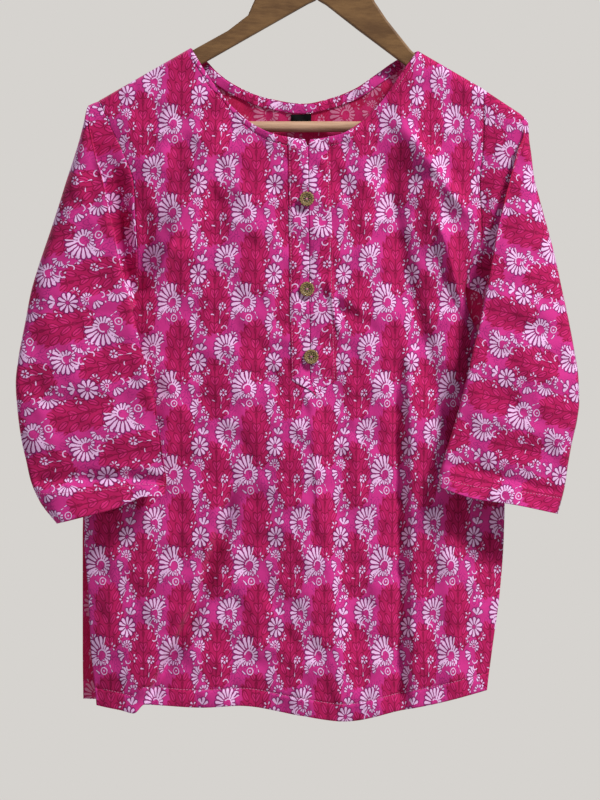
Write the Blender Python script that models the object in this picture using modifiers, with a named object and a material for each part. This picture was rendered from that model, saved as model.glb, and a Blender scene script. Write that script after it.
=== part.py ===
"""Kurta tunic on a wooden hanger.

A short cotton kurta with a scooped neck, a buttoned placket, side vents and
three-quarter sleeves, as it hangs from a wooden hanger. Metres, +Z up. The
front of the garment looks along -Y, and the wearer's right side is at -X.
The origin is the inner top of the hanger's hook, where a rail or a nail
carries it. Tables and sizes are written in millimetres.
"""
import math

import bmesh
import bpy
import numpy as np

MM = 0.001
COLLECTION = "kurta_on_hanger"

# Cloth
WALL = 1.2
SEAM_GAP = 0.3
SEAM_Y = (WALL + SEAM_GAP / 2)
STRIP_WALL = 1.2
STRIP_LIFT = 0.7
FACING_WALL = 1.0
RIDGE_ROUND = 2.6
WELD = 0.05

# Shoulder lines and necklines, as heights over x
SHOULDER = {"left_tip": (-228.0, -209.0), "left_neck": (-134.0, -155.0),
            "right_neck": (98.0, -158.0), "right_tip": (165.0, -197.0)}
FRONT_NECK = {"x": (-134, -118, -106, -93, -71, -47, -14, 18, 37, 59, 83, 98),
              "z": (-155, -181, -198, -214, -233, -244, -249, -244, -233, -212, -178, -158)}
BACK_NECK = {"x": (-134, -118, -107, -88, -57, -18, 10, 34, 58, 78, 98),
             "z": (-155, -169, -181, -195, -208, -214, -208, -198, -181, -167, -158)}

# Side lines: height, left x of the front, right x of the front
FRONT_SIDES = (
    (-197, -235, 165), (-209, -228, 165), (-236, -216, 165), (-262, -203, 164),
    (-294, -192, 161), (-333, -190, 164), (-349, -189, 166), (-372, -188, 164),
    (-405, -185, 160), (-474, -208, 171), (-546, -228, 178), (-617, -243, 187),
    (-658, -243, 186), (-710, -239, 182), (-770, -236, 174), (-809, -232, 169),
    (-843, -229, 166),
)
# Side lines: height, left x of the back, right x of the back
BACK_SIDES = (
    (-197, -235, 165), (-209, -228, 165), (-236, -216, 165), (-262, -203, 164),
    (-294, -192, 161), (-333, -190, 162), (-372, -188, 161), (-405, -185, 160),
    (-474, -208, 171), (-546, -228, 178), (-617, -244, 186), (-658, -245, 183),
    (-710, -245, 177), (-770, -245, 169), (-843, -244, 160),
)
# Hem heights over x
FRONT_HEM = {"x": (-245, -230, -205, -192, -181, -124, -84, -22, 23, 80, 120, 171, 185),
             "z": (-823, -827, -832, -835, -826, -829, -827, -837, -843, -832, -824, -811, -807)}
BACK_HEM = {"x": (-245, -180, -60, 60, 185),
            "z": (-821, -823, -828, -826, -806)}

# Depths over height: height, front face, back face, front edge, back edge
DEPTHS = (
    (-155, 9.0, 9.0, 8.2, 8.2), (-200, 10.5, 9.3, 8.2, 8.2), (-230, 12.0, 9.6, 8.4, 8.2),
    (-262, 13.0, 10.0, 8.0, 8.2), (-300, 14.0, 10.5, 7.4, 7.8), (-345, 15.0, 11.0, 7.0, 7.0),
    (-380, 15.5, 11.5, 3.0, 6.5), (-405, 16.0, 11.5, 0.4, 3.4), (-474, 16.0, 12.0, 0.0, 3.8),
    (-546, 16.0, 12.0, -1.0, 4.8), (-640, 16.0, 12.5, -1.5, 5.4), (-665, 16.0, 12.5, 0.0, 5.6),
    (-740, 16.5, 13.0, 4.0, 6.5), (-843, 17.0, 13.0, 6.0, 7.0),
)
FRONT_DEEPEST = -1.8
DEEP_SOFT = 0.8
EDGE_SOFTNESS = 26.0
EDGE_SETTLE = 9.0

# Grid of a panel: extra columns about each neck point, extra rows under the upper
# edge, and how far its columns are even rather than closer at the sides
NECK_COLUMNS = (-4.0, -1.5, 0.0, 1.5, 4.0)
TOP_ROWS = (0.0, 1.5, 3.5, 6.5, 11.0, 19.0)
EVEN_SHARE = 0.55
LINE_STEPS = 60

# Folds of the front: x and z at the head, the middle and the foot of each fold,
# its height, its reach to the left and to the right, and how long its ends fade
FOLDS_FRONT = {
    "left_drape": (-100, -222, -134, -311, -178, -400, 8.0, 26, 11, 50),
    "left_underarm_hollow": (-184, -310, -187, -368, -192, -424, -12.0, 12, 10, 24),
    "left_soft": (-66, -262, -76, -413, -90, -586, 3.5, 26, 18, 80),
    "left_hollow": (-112, -240, -112, -300, -118, -372, -3.5, 14, 16, 50),
    "foot_step": (-88, -600, -137, -719, -178, -835, 8.0, 46, 9, 60),
    "centre_drape": (-16, -486, 0, -638, 20, -860, 9.0, 62, 15, 70),
    "pleat_hollow": (78, -455, 82, -638, 84, -850, -6.0, 9, 6, 50),
    "pleat_ridge": (90, -455, 91, -638, 94, -860, 5.0, 6, 22, 50),
    "right_valley": (60, -240, 77, -362, 128, -546, -7.0, 16, 15, 50),
    "right_rib": (104, -285, 120, -342, 150, -436, 8.0, 13, 11, 40),
    "right_drape": (70, -214, 116, -286, 166, -349, 10.0, 15, 12, 34),
    "right_underarm_hollow": (172, -352, 160, -396, 166, -446, -15.0, 10, 16, 26),
    "right_soft": (118, -530, 130, -680, 140, -850, 5.0, 16, 16, 60),
}
# Folds of the back, in the same columns; their height points away from the body
FOLDS_BACK = {
    "back_left": (-150, -330, -160, -560, -172, -850, 5.0, 26, 20, 90),
    "back_left_soft": (-92, -380, -98, -600, -106, -850, 3.5, 20, 26, 90),
    "back_centre": (-24, -330, -30, -600, -36, -850, 6.0, 30, 24, 110),
    "back_right": (44, -360, 52, -600, 58, -850, 4.5, 22, 26, 90),
    "back_right_side": (112, -330, 122, -560, 130, -850, 5.5, 24, 20, 90),
    "back_yoke_left": (-96, -216, -136, -290, -172, -360, 3.5, 18, 18, 50),
    "back_yoke_right": (62, -214, 104, -290, 142, -360, 3.5, 18, 18, 50),
}

# Sleeves, one row for each section from the shoulder to the cuff:
# outer edge x, z, y; front fold x, z, y; seam x, z; front face y; inner recess y; back face y
SLEEVE_LEFT = (
    (-239, -214.0, 0, -233.5, -211.5, -1.35, -228.6, -209.5, -1.35, -1.35, 1.35),
    (-240.5, -218.0, 0, -235.5, -216.0, -7, -227.0, -213.0, -7.0, -7.0, 7.0),
    (-242, -224.0, 0, -236.5, -225.0, -9, -222.5, -221.5, -8.5, -8.4, 8.6),
    (-243.5, -231.0, 0, -237, -234.0, -11, -218.4, -231.0, -10, -8.6, 9.6),
    (-247, -245.0, 0, -234, -250.0, -15, -210.2, -249.0, -14, -8.2, 11),
    (-252, -262.0, 0, -230, -267.0, -19, -201.4, -268.0, -17, -5.0, 12),
    (-261, -290.0, -2, -223, -292.0, -23, -192.6, -293.0, -21, 1.0, 12),
    (-269, -316.0, -3, -218, -318.0, -25, -191.2, -318.0, -23, 4.0, 12),
    (-278, -344.0, -5, -212, -345.0, -27, -189.7, -345.0, -25, 5.0, 11),
    (-288, -374.0, -8, -206, -375.0, -29, -188.4, -375.0, -27, 4.0, 8),
    (-297, -405.0, -12, -198, -406.0, -31, -186.0, -405.6, -29, 0.4, 2),
    (-303, -438.0, -16, -189, -440.0, -33, -198.0, -438.0, -31, -22, -9),
    (-309, -470.0, -20, -181, -472.0, -35, -190.0, -472.0, -33, -27, -15),
    (-312, -498.0, -22, -174, -499.0, -36, -183.0, -499.0, -34, -28, -18),
    (-310, -527.0, -23, -168, -527.0, -36, -177.0, -527.0, -34, -28, -19),
    (-306, -556.0, -24, -164, -554.0, -36, -173.0, -554.0, -34, -28, -19),
    (-301, -578.0, -24, -161, -576.0, -35, -170.0, -576.0, -33, -28, -19),
    (-297, -596.0, -24, -158, -597.0, -33, -168.0, -596.0, -31, -27, -19),
    (-287, -619.0, -25, -159, -605.0, -36, -168.0, -604.0, -35, -29, -20),
    (-270, -641.0, -26, -160, -613.0, -38, -169.0, -612.0, -38, -30, -21),
)
SLEEVE_RIGHT = (
    (210, -229.0, 0, 203, -222.5, -1.35, 165.6, -197.5, -1.35, -1.35, 1.35),
    (211, -233.0, 0, 205, -227.0, -7, 165.6, -201.5, -7.0, -7.0, 7.0),
    (211.5, -239.0, 0, 206.5, -235.0, -9, 165.6, -208.0, -8.5, -8.4, 8.6),
    (212, -248.0, 0, 206, -245.0, -12, 165.6, -222.0, -10, -8.8, 9.6),
    (214, -262.0, 0, 200, -260.0, -17, 165.4, -246.0, -14, -8.6, 11),
    (217, -286.0, 0, 193, -284.0, -21, 164.0, -276.0, -18, -6.0, 12),
    (223, -311.0, -2, 187, -309.0, -24, 162.4, -306.0, -22, -1.0, 12),
    (230, -337.0, -4, 180, -336.0, -26, 166.6, -334.0, -24, 3.0, 11),
    (238, -368.0, -7, 174, -368.0, -29, 166.4, -367.0, -27, 4.0, 8),
    (245, -402.0, -12, 168, -401.0, -32, 161.0, -403.6, -30, 0.4, 2),
    (252, -436.0, -17, 161, -435.0, -35, 170.0, -435.0, -33, -24, -10),
    (257, -464.0, -21, 154, -462.0, -37, 163.0, -462.0, -35, -28, -16),
    (261, -490.0, -23, 148, -488.0, -38, 157.0, -488.0, -36, -29, -19),
    (262, -516.0, -24, 141, -516.0, -38, 150.0, -516.0, -36, -30, -20),
    (260, -534.0, -25, 136, -534.0, -38, 145.0, -534.0, -36, -30, -20),
    (254, -561.0, -25, 128, -560.0, -38, 137.0, -560.0, -36, -30, -20),
    (250, -584.0, -25, 122, -580.0, -37, 131.0, -580.0, -35, -30, -20),
    (247, -604.0, -25, 119, -590.0, -35, 128.0, -590.0, -34, -29, -20),
    (243, -620.0, -26, 119, -596.0, -37, 128.0, -595.0, -37, -30, -21),
    (240, -631.0, -26, 119, -603.0, -39, 128.0, -601.0, -39, -31, -22),
)
UNDERARM_ROW = {"left": 10, "right": 9}
CUFF_RISE = {"left": (5.0, 0.22, 0.16), "right": (-4.0, 0.30, 0.25)}
SLEEVE_CLEAR = 3.0
SEAM_APART = 1.2
RECESS_APART = 1.2

# How a sleeve's section turns: how late the inner recess comes forward above and
# below the underarm, where the recess is deepest, how blunt the outer edge is on the
# shoulder and below it, and the last share of the back that runs to the seam
TURN_LATE = {"above": 5.0, "below": 1.4}
RECESS_REACH = 0.55
RECESS_SPREAD = 0.8
FACE_REACH = 0.3
EDGE_BLUNT = {"shoulder": 34.0, "below": 4.0}
BACK_RUN = 0.75

# Placket and buttons
PLACKET = {"slit_top": (-14.0, -250.0), "slit_foot": (-12.0, -494.0), "top_width": 21.0,
           "foot_left": 19.5, "foot_right": 27.0, "tip": (-4.0, -512.0)}
POINT_WIDTH = 0.12
POINT_DROP = 0.82
POINT_PULL = 0.85
BUTTONS = {"button_top": (-15.5, -310.0), "button_middle": (-15.2, -402.0),
           "button_bottom": (-11.0, -471.0)}
BUTTON_RADIUS = 7.5
BUTTON_THICK = 2.6
BUTTON_PROFILE = ((0.0, 0.72), (0.55, 0.72), (0.66, 1.0), (0.88, 1.0), (1.0, 0.62),
                  (0.9, 0.0), (0.0, 0.0))
BUTTON_STEPS = 20
BUTTON_REST = (-8.0, -4.0, 0.0, 4.0, 8.0)
BUTTON_HOLE_RADIUS = 0.9
BUTTON_HOLE_APART = 3.4

# Back neckline binding and label
FACING_WIDTH = 10.0
FACING_ENDS = (-116.0, 78.0)
FACING_DROP = 1.0
LABEL = {"x": (-32.0, -11.0), "z": (-233.0, -226.4), "thick": 0.6}

# Hanger
ARM_THICK = 11.0
ARM_ROUND = 3.5
BAR_RADIUS = 5.6
BAR_Z = -235.6
BAR_ENDS = (-195.7, 159.7)
JOINT_X = -5.0
ARM_LEFT = (
    (-5.2, -69), (-30, -71), (-50, -78), (-62, -90), (-69, -106), (-76, -122), (-96, -137.5),
    (-128, -155.2), (-180, -186.2), (-222, -210.6), (-229, -217), (-232, -227), (-229.5, -239),
    (-220, -246), (-204, -248), (-196, -246), (-196, -226), (-186, -212), (-150, -188),
    (-118, -169), (-60, -136), (-14, -110), (-5.2, -106),
)
ARM_RIGHT = (
    (-4.8, -69), (19, -71), (37, -79), (47, -91), (54, -108), (66, -126), (83, -147.5),
    (91, -157.5), (99, -164.5), (110, -171.4), (140, -188.0), (165, -202.8), (186, -216), (196, -224.5),
    (200.5, -233),
    (198.5, -242), (189, -247), (172, -248.5), (160, -246), (160, -228), (148, -219),
    (112, -193), (76, -166), (36, -136), (4, -111), (-4.8, -106),
)
HOOK_WIRE = 4.0
HOOK_BEND = 21.0
HOOK_TIP_TURN = -15.0
HOOK_END_TURN = 245.0
HOOK_LEAVES = 9.0
HOOK_ARRIVES = 18.0
HOOK_FOOT = (-5.0, -68.6)
HOOK_STEPS = 26

# Colours: red, green, blue, roughness, metallic
FINISHES = {
    "printed_cotton": (0.55, 0.035, 0.20, 0.85, 0.0),
    "woven_label": (0.01, 0.01, 0.012, 0.8, 0.0),
    "carved_wood": (0.22, 0.14, 0.05, 0.55, 0.0),
    "stained_wood": (0.13, 0.055, 0.022, 0.5, 0.0),
    "pale_wood": (0.60, 0.42, 0.24, 0.55, 0.0),
    "bright_steel": (0.62, 0.62, 0.62, 0.3, 1.0),
}


def smoothstep(low, high, value):
    """Rise from 0 to 1 between low and high, with level ends."""
    t = np.clip((value - low) / (high - low), 0.0, 1.0)
    return t * t * (3 - 2 * t)


def smooth_curve(xs, ys):
    """Return a function through the points that never overshoots between them."""
    order = np.argsort(xs)
    x = np.asarray(xs, float)[order]
    y = np.asarray(ys, float)[order]
    step = np.diff(x)
    slope = np.diff(y) / step
    tangent = np.zeros_like(y)
    same = slope[1:] * slope[:-1] > 0
    mean = 2 * slope[1:] * slope[:-1] / np.where(same, slope[1:] + slope[:-1], 1.0)
    tangent[1:-1] = np.where(same, mean, 0.0)
    tangent[0] = slope[0]
    tangent[-1] = slope[-1]

    def curve(value):
        v = np.clip(np.asarray(value, float), x[0], x[-1])
        i = np.clip(np.searchsorted(x, v) - 1, 0, len(step) - 1)
        h = step[i]
        t = (v - x[i]) / h
        rise = y[i] * (1 + 2 * t) * (1 - t) ** 2 + y[i + 1] * t * t * (3 - 2 * t)
        return rise + h * t * (1 - t) * (tangent[i] * (1 - t) - tangent[i + 1] * t)

    return curve


def column(table, index, key=0):
    """Return the smooth curve of one column of a table over another column."""
    return smooth_curve([row[key] for row in table], [row[index] for row in table])


left_of_front = column(FRONT_SIDES, 1)
right_of_front = column(FRONT_SIDES, 2)
left_of_back = column(BACK_SIDES, 1)
right_of_back = column(BACK_SIDES, 2)
front_face = column(DEPTHS, 1)
back_face = column(DEPTHS, 2)
front_edge = column(DEPTHS, 3)
back_edge = column(DEPTHS, 4)
front_neck = smooth_curve(FRONT_NECK["x"], FRONT_NECK["z"])
back_neck = smooth_curve(BACK_NECK["x"], BACK_NECK["z"])
front_hem = smooth_curve(FRONT_HEM["x"], FRONT_HEM["z"])
back_hem = smooth_curve(BACK_HEM["x"], BACK_HEM["z"])


def shoulder_line(x):
    """Height of the shoulder seam over x, carried on over the neck."""
    lx, lz = SHOULDER["left_tip"]
    nx, nz = SHOULDER["left_neck"]
    mx, mz = SHOULDER["right_neck"]
    rx, rz = SHOULDER["right_tip"]
    left = nz + (x - nx) * (nz - lz) / (nx - lx)
    right = mz + (x - mx) * (rz - mz) / (rx - mx)
    return np.minimum(left, right)


def top_line(x, neck):
    """Height of a panel's upper edge: shoulder, neckline, shoulder."""
    inside = (x > SHOULDER["left_neck"][0]) & (x < SHOULDER["right_neck"][0])
    return np.where(inside, neck(x), shoulder_line(x))


def fold_height(folds, x, z):
    """Sum of the folds at a place.

    Each fold runs along a smooth line through its three points. Across the
    line it is a bell with its own reach to either side, and it fades at its ends.
    """
    total = np.zeros_like(x)
    for x0, z0, x1, z1, x2, z2, height, left, right, fade in folds.values():
        line = smooth_curve((z0, z1, z2), (x0, x1, x2))
        off = x - line(z)
        reach = np.where(off < 0, left, right)
        ends = smoothstep(z2 - 1, z2 + fade, z) * smoothstep(-z0 - 1, -z0 + fade, -z)
        total += height * np.exp(-(off / reach) ** 2) * ends
    return total


def rounding(x, z):
    """Share of the full depth at a place, from nothing on the shoulder seam."""
    return 1 - np.exp(-np.maximum(shoulder_line(x) - z, 0.0) / RIDGE_ROUND)


def panel_depth(x, z, face, edge, left, right, folds):
    """Depth of a panel's outer face away from the middle plane, in front or behind."""
    inward = np.minimum(x - left(z), right(z) - x)
    rise = 1 - np.exp(-np.maximum(inward, 0.0) / EDGE_SOFTNESS)
    depth = edge(z) + (face(z) - edge(z)) * rise
    settle = 1 - np.exp(-np.maximum(inward, 0.0) / EDGE_SETTLE)
    depth = depth + fold_height(folds, x, z) * settle
    return SEAM_Y + (depth - SEAM_Y) * rounding(x, z)


def front_y(x, z):
    """Y of the front panel's outer face, kept clear of the back in its hollows."""
    depth = panel_depth(x, z, front_face, front_edge, left_of_front, right_of_front, FOLDS_FRONT)
    return -(FRONT_DEEPEST + DEEP_SOFT * np.logaddexp(0.0, (depth - FRONT_DEEPEST) / DEEP_SOFT))


def back_y(x, z):
    """Y of the back panel's outer face."""
    return panel_depth(x, z, back_face, back_edge, left_of_back, right_of_back, FOLDS_BACK)


def panel_grid(columns, rows, neck, hem, left, right, depth):
    """Points of a panel: columns run from its upper edge to its hem."""
    even = np.linspace(0, 1, columns)
    u = EVEN_SHARE * even + (1 - EVEN_SHARE) * (1 - np.cos(np.pi * even)) / 2
    start = left(SHOULDER["left_neck"][1])
    width = right(SHOULDER["right_neck"][1]) - start
    for corner in ("left_neck", "right_neck"):
        close = (SHOULDER[corner][0] + np.array(NECK_COLUMNS) - start) / width
        u = np.concatenate([u[(u < close[0] - 0.01) | (u > close[-1] + 0.01)], close])
    u = np.sort(u)[None, :]
    top = np.full_like(u, SHOULDER["left_tip"][1])
    foot = np.full_like(u, FRONT_HEM["z"][0])
    for _ in range(LINE_STEPS):
        top = 0.5 * top + 0.5 * top_line(left(top) + u * (right(top) - left(top)), neck)
        foot = 0.5 * foot + 0.5 * hem(left(foot) + u * (right(foot) - left(foot)))
    near = np.array(TOP_ROWS)[:, None]
    far = np.linspace(0, 1, rows - len(near) + 1)[1:, None]
    start = top - near[-1]
    z = np.vstack([top - near, start + (foot - start) * far])
    x = left(z) + u * (right(z) - left(z))
    return np.stack([x, depth(x, z), z], axis=-1)


def sleeve_grid(table, side, inner=7, front=10, back=10):
    """Points of a sleeve, row by row from the shoulder to the cuff.

    A row starts on the front of the armhole seam, runs through the inner
    recess to the front fold, over the front face to the outer edge, and
    back behind to the seam again. Below the underarm its ends meet.
    """
    cols = np.array(table, float).T[:, :, None]
    ox, oz, oy, kx, kz, ky, ax, az, fy, ry, by = cols
    rows = len(table)
    number = np.arange(rows)[:, None]
    underarm = UNDERARM_ROW[side]
    outward = -1 if side == "left" else 1
    armhole = left_of_front(az) if side == "left" else right_of_front(az)
    recessed = RECESS_APART * smoothstep(3, 6, number)
    joined = number > underarm
    bx = np.where(joined, ax, armhole + outward * SEAM_APART)
    ax = np.where(joined, ax, armhole + outward * (SEAM_APART + recessed))
    below = smoothstep(underarm - 0.5, underarm + 0.8, number)
    seam_front = np.where(number < underarm, front_y(ax, az), ry)
    seam_front[0] = -SEAM_Y
    seam_back = np.where(number < underarm, back_y(bx, az), by)
    seam_back[0] = SEAM_Y

    s = np.linspace(0, 1, inner, endpoint=False)[None, :] ** RECESS_SPREAD
    power = TURN_LATE["above"] * (1 - below) + TURN_LATE["below"] * below
    bowl = seam_front + (ry - seam_front) * smoothstep(0.0, RECESS_REACH, s)
    y_in = bowl + (ky - bowl) * s ** power
    x_in = ax + (kx - ax) * s
    z_in = az + (kz - az) * s

    on_shoulder = 1 - smoothstep(0.0, 3.5, number)
    blunt = EDGE_BLUNT["below"] + (EDGE_BLUNT["shoulder"] - EDGE_BLUNT["below"]) * on_shoulder
    even = np.linspace(0, 1, front)[None, :]
    s = 0.5 * even + 0.5 * np.sin(np.pi / 2 * even)
    face = ky + (fy - ky) * smoothstep(0.0, FACE_REACH, s)
    y_face = oy + (face - oy) * np.sqrt(1 - s ** blunt)
    x_face = kx + (ox - kx) * s
    z_face = kz + (oz - kz) * s

    even = np.linspace(0, 1, back + 1)[None, 1:]
    s = 0.5 * even + 0.5 * (1 - np.cos(np.pi / 2 * even))
    y_back = oy + (by - oy) * np.sqrt(1 - (1 - s) ** blunt)
    y_back = y_back + (seam_back - y_back) * smoothstep(BACK_RUN, 1.0, s)
    x_back = ox + (bx - ox) * s
    z_back = oz + (az - oz) * s

    x = np.hstack([x_in, x_face, x_back])
    y = np.hstack([y_in, y_face, y_back])
    z = np.hstack([z_in, z_face, z_back])

    seam_end = underarm + 1
    x[seam_end:, -1] = x[seam_end:, 0]
    y[seam_end:, -1] = y[seam_end:, 0]
    z[seam_end:, -1] = z[seam_end:, 0]
    y = clear_of_front(x, y, z, underarm)
    amount, where, reach = CUFF_RISE[side]
    across = np.clip((x - kx) / (ox - kx), 0, 1)
    near_cuff = smoothstep(rows - 5, rows - 1, number)
    z = z + amount * np.exp(-((across - where) / reach) ** 2) * near_cuff
    return np.stack([x, y, z], axis=-1)


def clear_of_front(x, y, z, underarm):
    """Keep the part of a sleeve that hangs in front of the body clear of it."""
    over = (x > left_of_front(z) - 3) & (x < right_of_front(z) + 3)
    over[:underarm + 1] = False
    limit = front_y(x, z) - SLEEVE_CLEAR
    return np.where(over, np.minimum(y, limit), y)


def make_material(name):
    """Return the named finish, making it the first time."""
    found = bpy.data.materials.get(name)
    if found:
        return found
    red, green, blue, roughness, metallic = FINISHES[name]
    material = bpy.data.materials.new(name)
    material.use_nodes = True
    shader = material.node_tree.nodes["Principled BSDF"]
    shader.inputs["Base Color"].default_value = (red, green, blue, 1.0)
    shader.inputs["Roughness"].default_value = roughness
    shader.inputs["Metallic"].default_value = metallic
    material.diffuse_color = (red, green, blue, 1.0)
    return material


def place(name, mesh, finish, collection):
    """Put a mesh in the scene under its name, with its finish."""
    obj = bpy.data.objects.new(name, mesh)
    mesh.materials.clear()
    mesh.materials.append(make_material(finish))
    collection.objects.link(obj)
    return obj


def grid_mesh(name, points, flip=False):
    """Mesh of quads over a grid of points, given in millimetres."""
    rows, cols = points.shape[:2]
    index = np.arange(rows * cols).reshape(rows, cols)
    quads = np.stack([index[:-1, :-1], index[1:, :-1], index[1:, 1:], index[:-1, 1:]], axis=-1)
    quads = quads.reshape(-1, 4)
    if flip:
        quads = quads[:, ::-1]
    mesh = bpy.data.meshes.new(name)
    mesh.from_pydata((points.reshape(-1, 3) * MM).tolist(), [], quads.tolist())
    shape = bmesh.new()
    shape.from_mesh(mesh)
    bmesh.ops.remove_doubles(shape, verts=shape.verts, dist=WELD * MM)
    shape.to_mesh(mesh)
    shape.free()
    mesh.shade_smooth()
    return mesh


def cloth_sheet(name, points, wall, collection, flip=False, finish="printed_cotton"):
    """A wall of cloth: the grid is its outer face, and its thickness goes inwards."""
    obj = place(name, grid_mesh(name, points, flip), finish, collection)
    thick = obj.modifiers.new("wall", "SOLIDIFY")
    thick.thickness = wall * MM
    thick.offset = -1.0
    return obj


def make_panels(collection):
    """Front and back, each from shoulder to hem."""
    front = panel_grid(48, 32, front_neck, front_hem, left_of_front, right_of_front, front_y)
    cloth_sheet("front_panel", front, WALL, collection)
    back = panel_grid(27, 23, back_neck, back_hem, left_of_back, right_of_back, back_y)
    cloth_sheet("back_panel", back, WALL, collection, flip=True)


def make_sleeves(collection):
    """Both sleeves, from armhole seam to cuff."""
    for side, table, flip in (("left", SLEEVE_LEFT, True), ("right", SLEEVE_RIGHT, False)):
        cloth_sheet("sleeve_" + side, sleeve_grid(table, side), WALL, collection, flip)


def on_front(x, z, lift):
    """Points on the front panel's outer face, moved out by a lift."""
    return np.stack([x, front_y(x, z) - lift, z], axis=-1)


def make_placket(collection):
    """Two strips side by side over the front opening, cut to a point at the foot."""
    top_x, top_z = PLACKET["slit_top"]
    foot_x, foot_z = PLACKET["slit_foot"]
    tip_x, tip_z = PLACKET["tip"]
    rows = 17
    t = np.linspace(0, 1, rows)[:, None]
    across = np.linspace(0, 1, 4)[None, :]
    middle = top_x + (foot_x - top_x) * t
    lift = STRIP_LIFT + STRIP_WALL
    for side, sign, foot_width in (("left", -1, PLACKET["foot_left"]),
                                   ("right", 1, PLACKET["foot_right"])):
        width = PLACKET["top_width"] + (foot_width - PLACKET["top_width"]) * t
        x = middle + sign * (SEAM_GAP / 2 + across * width)
        z_top = front_neck(x[0])
        z = z_top + (foot_z - z_top) * t + 0 * across
        point_x = tip_x + sign * SEAM_GAP / 2 + (x[-1] - tip_x) * POINT_WIDTH
        point_z = tip_z + (foot_z - tip_z) * across[0] * POINT_DROP
        x = np.vstack([x, point_x + (x[-1] - point_x) * across[0] * POINT_PULL])
        z = np.vstack([z, point_z])
        cloth_sheet("placket_" + side, on_front(x, z, lift), STRIP_WALL, collection,
                    flip=(sign < 0))


def make_facing(collection):
    """The binding inside the back neckline."""
    x = np.linspace(*FACING_ENDS, 28)[None, :]
    slope = (back_neck(x + 1) - back_neck(x - 1)) / 2
    down = np.linspace(FACING_DROP, FACING_DROP + FACING_WIDTH, 3)[:, None]
    length = np.sqrt(1 + slope ** 2)
    px = x + down * slope / length
    pz = back_neck(x) - down / length
    inner = back_y(px, pz) - WALL - SEAM_GAP
    points = np.stack([px, inner - FACING_WALL, pz], axis=-1)
    cloth_sheet("neck_facing_back", points, FACING_WALL, collection)


def make_label(collection):
    """The small woven label, flat against the inside of the back."""
    (x0, x1), (z0, z1) = LABEL["x"], LABEL["z"]
    bpy.ops.mesh.primitive_cube_add(size=1.0)
    obj = bpy.context.object
    corners = np.array([[x0, z0], [x1, z0], [x0, z1], [x1, z1]])
    nearest = back_y(corners[:, 0], corners[:, 1]).min()
    y = nearest - WALL - 2 * SEAM_GAP - LABEL["thick"] / 2
    obj.scale = ((x1 - x0) * MM, LABEL["thick"] * MM, (z1 - z0) * MM)
    obj.location = ((x0 + x1) / 2 * MM, y * MM, (z0 + z1) / 2 * MM)
    bpy.ops.object.transform_apply(location=False, rotation=False, scale=True)
    adopt(obj, "size_label", "woven_label", collection)


def adopt(obj, name, finish, collection):
    """Name an object made by an operator, finish it and file it."""
    obj.name = name
    obj.data.name = name
    obj.data.materials.clear()
    obj.data.materials.append(make_material(finish))
    for old in list(obj.users_collection):
        old.objects.unlink(obj)
    collection.objects.link(obj)


def make_buttons(collection, cutters):
    """Three turned wooden buttons with a raised rim and two holes."""
    for name, (x, z) in BUTTONS.items():
        mesh = bpy.data.meshes.new(name)
        points = [(r * BUTTON_RADIUS * MM, 0.0, t * BUTTON_THICK * MM) for r, t in BUTTON_PROFILE]
        mesh.from_pydata(points, [(i, i + 1) for i in range(len(points) - 1)], [])
        obj = place(name, mesh, "carved_wood", collection)
        turn = obj.modifiers.new("turn", "SCREW")
        turn.axis = "Z"
        turn.steps = BUTTON_STEPS
        turn.render_steps = BUTTON_STEPS
        turn.use_merge_vertices = True
        turn.merge_threshold = 0.00001
        x_in = x + np.array(BUTTON_REST)[:, None]
        z_in = z + np.array(BUTTON_REST)[None, :]
        surface = front_y(x_in + 0 * z_in, z_in + 0 * x_in).min()
        y = surface - STRIP_LIFT - STRIP_WALL - SEAM_GAP
        obj.location = (x * MM, y * MM, z * MM)
        obj.rotation_euler = (math.pi / 2, 0, 0)
        for sign in (-1, 1):
            bpy.ops.mesh.primitive_cylinder_add(vertices=10, radius=BUTTON_HOLE_RADIUS * MM,
                                                depth=6 * BUTTON_THICK * MM)
            hole = bpy.context.object
            hole.rotation_euler = (math.pi / 2, 0, 0)
            hole.location = ((x + sign * BUTTON_HOLE_APART / 2) * MM, y * MM, z * MM)
            adopt(hole, name + ("_hole_a" if sign < 0 else "_hole_b"), "carved_wood", cutters)
            hole.hide_render = True
            hole.display_type = "WIRE"
            cut = obj.modifiers.new("hole", "BOOLEAN")
            cut.operation = "DIFFERENCE"
            cut.object = hole


def flat_outline(name, outline, thick):
    """Closed mesh of a flat outline in the XZ plane, half its thickness to each side."""
    curve = bpy.data.curves.new(name, "CURVE")
    curve.dimensions = "2D"
    curve.fill_mode = "BOTH"
    curve.extrude = thick / 2 * MM
    spline = curve.splines.new("POLY")
    spline.points.add(len(outline) - 1)
    for point, (x, z) in zip(spline.points, outline):
        point.co = (x * MM, z * MM, 0.0, 1.0)
    spline.use_cyclic_u = True
    return curve_to_mesh(name, curve, (math.pi / 2, 0, 0))


def curve_to_mesh(name, curve, rotation=(0, 0, 0)):
    """Turn a curve into a closed mesh in place, with its caps welded on."""
    holder = bpy.data.objects.new(name + "_curve", curve)
    holder.rotation_euler = rotation
    bpy.context.scene.collection.objects.link(holder)
    graph = bpy.context.evaluated_depsgraph_get()
    mesh = bpy.data.meshes.new_from_object(holder.evaluated_get(graph))
    shape = bmesh.new()
    shape.from_mesh(mesh)
    bmesh.ops.transform(shape, matrix=holder.matrix_world, verts=shape.verts)
    bmesh.ops.remove_doubles(shape, verts=shape.verts, dist=WELD * MM)
    bmesh.ops.recalc_face_normals(shape, faces=shape.faces)
    shape.to_mesh(mesh)
    shape.free()
    mesh.name = name
    bpy.data.objects.remove(holder)
    return mesh


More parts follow.
